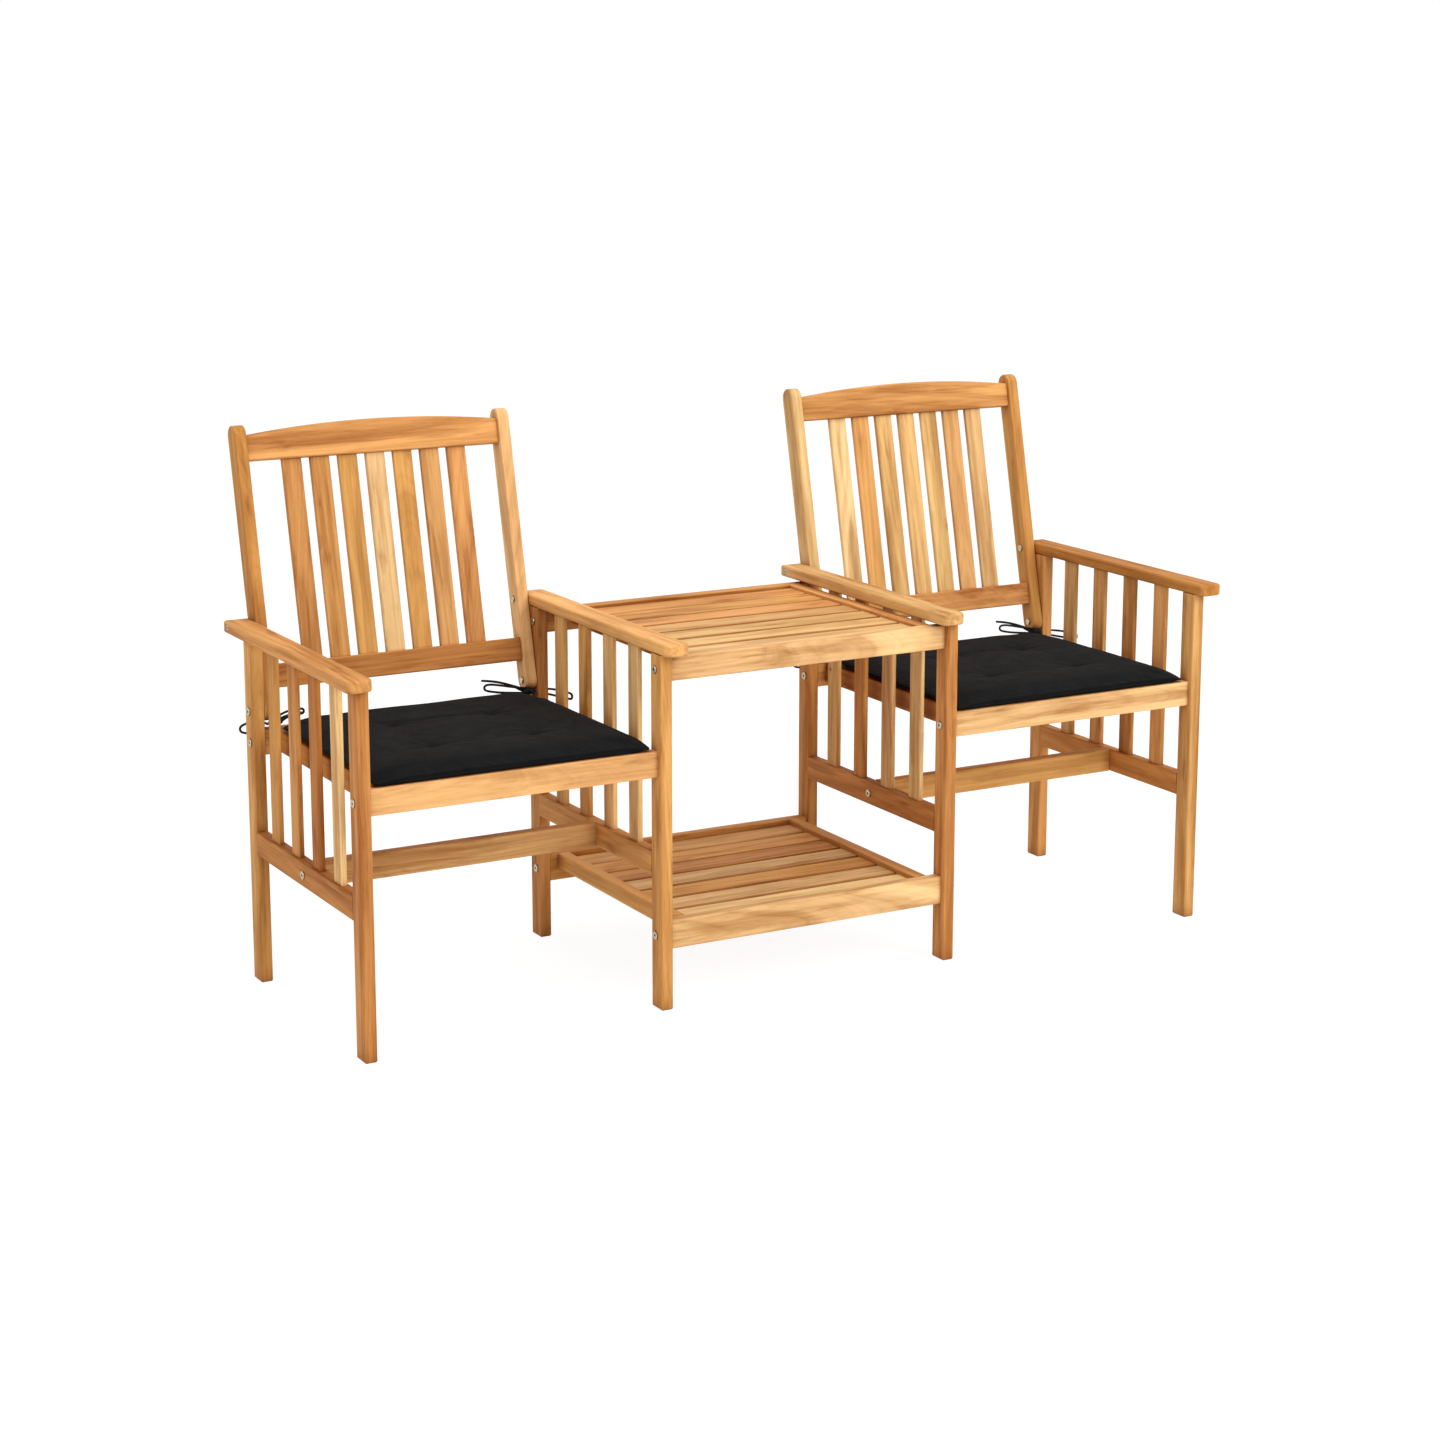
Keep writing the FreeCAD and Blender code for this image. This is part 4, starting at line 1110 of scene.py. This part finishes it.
def curve_length(piece):
    """The length of a curve's own line."""
    radius, piece.data.bevel_depth = piece.data.bevel_depth, 0.0
    bpy.context.view_layer.update()
    made = bpy.data.meshes.new_from_object(evaluated(piece))
    line = [vertex.co.copy() for vertex in made.vertices]
    bpy.data.meshes.remove(made)
    piece.data.bevel_depth = radius
    return sum((b - a).length for a, b in zip(line, line[1:]))


def twisted_knot(name, centre, axis, radius, turns, start):
    """A small overhand knot: a lobed, twisted ball of cord round an axis."""
    made = bmesh.new()
    bmesh.ops.create_uvsphere(made, u_segments=36, v_segments=24, radius=radius)
    spin = UP.rotation_difference(axis).to_matrix()
    for vertex in made.verts:
        co = vertex.co
        angle = math.atan2(co.y, co.x) + co.z / radius * KNOT_TWIST + start
        lobes = abs(math.sin(angle * turns / 2))
        polar = 1 - abs(co.z / radius) ** 3
        grow = 1 - KNOT_GROOVES * (1 - lobes) ** 2 * polar
        shaped = Vector((co.x * grow, co.y * grow, co.z * KNOT_HEIGHT))
        vertex.co = spin @ shaped + centre
    piece = piece_from(name, made)
    smooth(piece.data)
    return piece


def make_tie(node, material):
    """One tie with its bow's knot and the knot on its end."""
    look = bpy.context.scene.bench_tie
    points = tie_points(node)
    cord = route_curve(node + "_cord", points, look.diameter / 2)
    length = curve_length(cord)
    onward = (points[-1] - points[-2]).normalized()
    end = points[-1] + onward * look.knot_radius * KNOT_ADVANCE
    end_knot = twisted_knot(node + "_end_knot", end, onward, look.knot_radius, 4, 0.4)
    into_seat = TIES[node][1]
    bow = points[0] + Vector((into_seat * BOW_OFFSET[0], *BOW_OFFSET[1:]))
    bow_axis = Vector((into_seat, 0.1, 0.35)).normalized()
    bow_knot = twisted_knot(node + "_bow_knot", bow, bow_axis, BOW_RADIUS, 6, 1.3)
    for piece in (cord, end_knot, bow_knot):
        piece.data.materials.append(material)
        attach(piece, BODY)
    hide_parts(node)
    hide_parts("tie_knots")


class MakeCamera(bpy.types.Operator):
    """Places the camera where the photograph was taken from"""

    bl_idname = "bench.make_camera"
    bl_label = "Camera"

    def execute(self, context):
        data = bpy.data.cameras.new("bench_camera")
        data.sensor_width = SENSOR
        data.lens = CAMERA_LENS
        data.shift_y = CAMERA_SHIFT_Y
        data.clip_end = CAMERA_REACH
        camera = new_piece("bench_camera", data)
        camera.location = CAMERA_PLACE
        camera.rotation_euler = (math.pi / 2 - CAMERA_PITCH, 0.0, -CAMERA_YAW)
        context.scene.camera = camera
        return {"FINISHED"}


class MakeTies(bpy.types.Operator):
    """Makes the four cords that tie the cushions, with their bows"""

    bl_idname = "bench.make_ties"
    bl_label = "Cushion ties"

    def execute(self, context):
        material = cord_material()
        for node in TIES:
            make_tie(node, material)
        return {"FINISHED"}


class MakeCushions(bpy.types.Operator):
    """Makes the two seat cushions"""

    bl_idname = "bench.make_cushions"
    bl_label = "Seat cushions"

    def execute(self, context):
        material = cloth_material()
        for node in nodes_like("_cushion$"):
            make_cushion(node, material)
        return {"FINISHED"}


class FinishSides(bpy.types.Operator):
    """Oils the legs, armrests, side rails and upright slats"""

    bl_idname = "bench.finish_sides"
    bl_label = "Side frames"

    def execute(self, context):
        finish_boards(nodes_like("(_leg|armrest|side_rail|side_slats|stretcher)$"))
        return {"FINISHED"}


class FinishBacks(bpy.types.Operator):
    """Oils the two reclined backs"""

    bl_idname = "bench.finish_backs"
    bl_label = "Backs"

    def execute(self, context):
        finish_boards(nodes_like("(post|crest_rail|bottom_rail|back_slats)$"))
        return {"FINISHED"}


class FinishSeats(bpy.types.Operator):
    """Oils the seats' rails and slats"""

    bl_idname = "bench.finish_seats"
    bl_label = "Seats"

    def execute(self, context):
        finish_boards(nodes_like("_seat_"))
        return {"FINISHED"}


class FinishTable(bpy.types.Operator):
    """Oils the middle table and the shelf below it"""

    bl_idname = "bench.finish_table"
    bl_label = "Table and shelf"

    def execute(self, context):
        finish_boards(nodes_like("^(table|shelf)_"))
        return {"FINISHED"}


class FinishFasteners(bpy.types.Operator):
    """Plates the bolts, barrel nuts and cap nuts"""

    bl_idname = "bench.finish_fasteners"
    bl_label = "Fasteners"

    def execute(self, context):
        material = zinc_material()
        for node in FASTENERS:
            give_finish(node, material)
        return {"FINISHED"}


def seen_directly(tree):
    """1 for what the camera sees, also in a mirror or through glass, and 0 for other light."""
    rays = shade(tree, "LightPath").outputs
    seen = calculate(tree, "MAXIMUM", rays["Is Camera Ray"], rays["Is Glossy Ray"])
    return calculate(tree, "MAXIMUM", seen, rays["Is Transmission Ray"])


def mix_shaders(tree, share, first, second, output):
    """Mixes two shaders, the second by its share, for an output node's surface."""
    inputs = {0: share, 1: first.outputs[0], 2: second.outputs[0]}
    mixed = shade(tree, "MixShader", inputs)
    tree.links.new(mixed.outputs[0], output.inputs["Surface"])


def floor_material():
    """A pale floor that is nearly white to the camera and keeps the bench's shadow."""
    look = bpy.context.scene.bench_stage
    material, tree, shader = new_material("pale_floor")
    feed(tree, shader.inputs, {
        "Base Color": opaque(look.floor),
        "Roughness": 0.9,
        "Specular IOR Level": 0.1,
    })
    glow = shade(tree, "Emission", {"Color": WHITE, "Strength": look.glow})
    share = calculate(tree, "MULTIPLY", seen_directly(tree), FLOOR_GLOW_SHARE)
    mix_shaders(tree, share, shader, glow, tree.nodes["Material Output"])
    return material


def light_world(strength):
    """An even light from all round, which the camera sees as white."""
    world = bpy.data.worlds.new("studio")
    bpy.context.scene.world = world
    world.use_nodes = True
    tree = world.node_tree
    tree.nodes.clear()
    soft = shade(tree, "Background", {"Color": WHITE, "Strength": strength})
    white = shade(tree, "Background", {"Color": WHITE, "Strength": 1.0})
    mix_shaders(tree, seen_directly(tree), soft, white, shade(tree, "OutputWorld"))


def add_lamp(name, place, power, size):
    """A large square lamp that looks at the middle of the bench."""
    data = bpy.data.lights.new(name, "AREA")
    data.energy = power
    data.size = size
    lamp = new_piece(name, data)
    lamp.location = place
    aim = LAMP_TARGET - Vector(place)
    lamp.rotation_euler = aim.to_track_quat("-Z", "Y").to_euler()


class MakeStage(bpy.types.Operator):
    """Makes the pale floor and the soft lamps"""

    bl_idname = "bench.make_stage"
    bl_label = "Stage"

    def execute(self, context):
        look = context.scene.bench_stage
        made = bmesh.new()
        bmesh.ops.create_grid(made, x_segments=8, y_segments=8, size=FLOOR_HALF_SIDE)
        floor = piece_from("floor", made)
        floor.location.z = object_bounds()[0][2] - FLOOR_GAP
        floor.data.materials.append(floor_material())
        floor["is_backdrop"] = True
        light_world(look.ambient)
        for name, (place, size) in LAMPS.items():
            add_lamp(name + "_lamp", place, getattr(look, name), size)
        context.scene.view_settings.view_transform = "Standard"
        return {"FINISHED"}


OPERATORS = (
    MakeCamera,
    MakeTies,
    MakeCushions,
    FinishSides,
    FinishBacks,
    FinishSeats,
    FinishTable,
    FinishFasteners,
    MakeStage,
)


class BenchPanel(bpy.types.Panel):
    """Lists the bench's pieces and their sizes"""

    bl_idname = "VIEW3D_PT_bench"
    bl_label = "Companion seat bench"
    bl_space_type = "VIEW_3D"
    bl_region_type = "UI"
    bl_category = "Bench"

    def draw(self, context):
        for operator in OPERATORS:
            self.layout.operator(operator.bl_idname)
        for name, group in GROUPS.items():
            box = self.layout.box()
            for prop in group.__annotations__:
                box.prop(getattr(context.scene, name), prop)


CLASSES = (*GROUPS.values(), *OPERATORS, BenchPanel)


def register():
    for cls in CLASSES:
        bpy.utils.register_class(cls)
    for name, group in GROUPS.items():
        setattr(bpy.types.Scene, name, bpy.props.PointerProperty(type=group))


def unregister():
    for name in GROUPS:
        delattr(bpy.types.Scene, name)
    for cls in reversed(CLASSES):
        bpy.utils.unregister_class(cls)


def main():
    """Registers the add-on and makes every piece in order."""
    register()
    bpy.ops.bench.make_camera()
    bpy.ops.bench.make_ties()
    bpy.ops.bench.make_cushions()
    bpy.ops.bench.finish_sides()
    bpy.ops.bench.finish_backs()
    bpy.ops.bench.finish_seats()
    bpy.ops.bench.finish_table()
    bpy.ops.bench.finish_fasteners()
    bpy.ops.bench.make_stage()


if __name__ == "__main__":
    main()
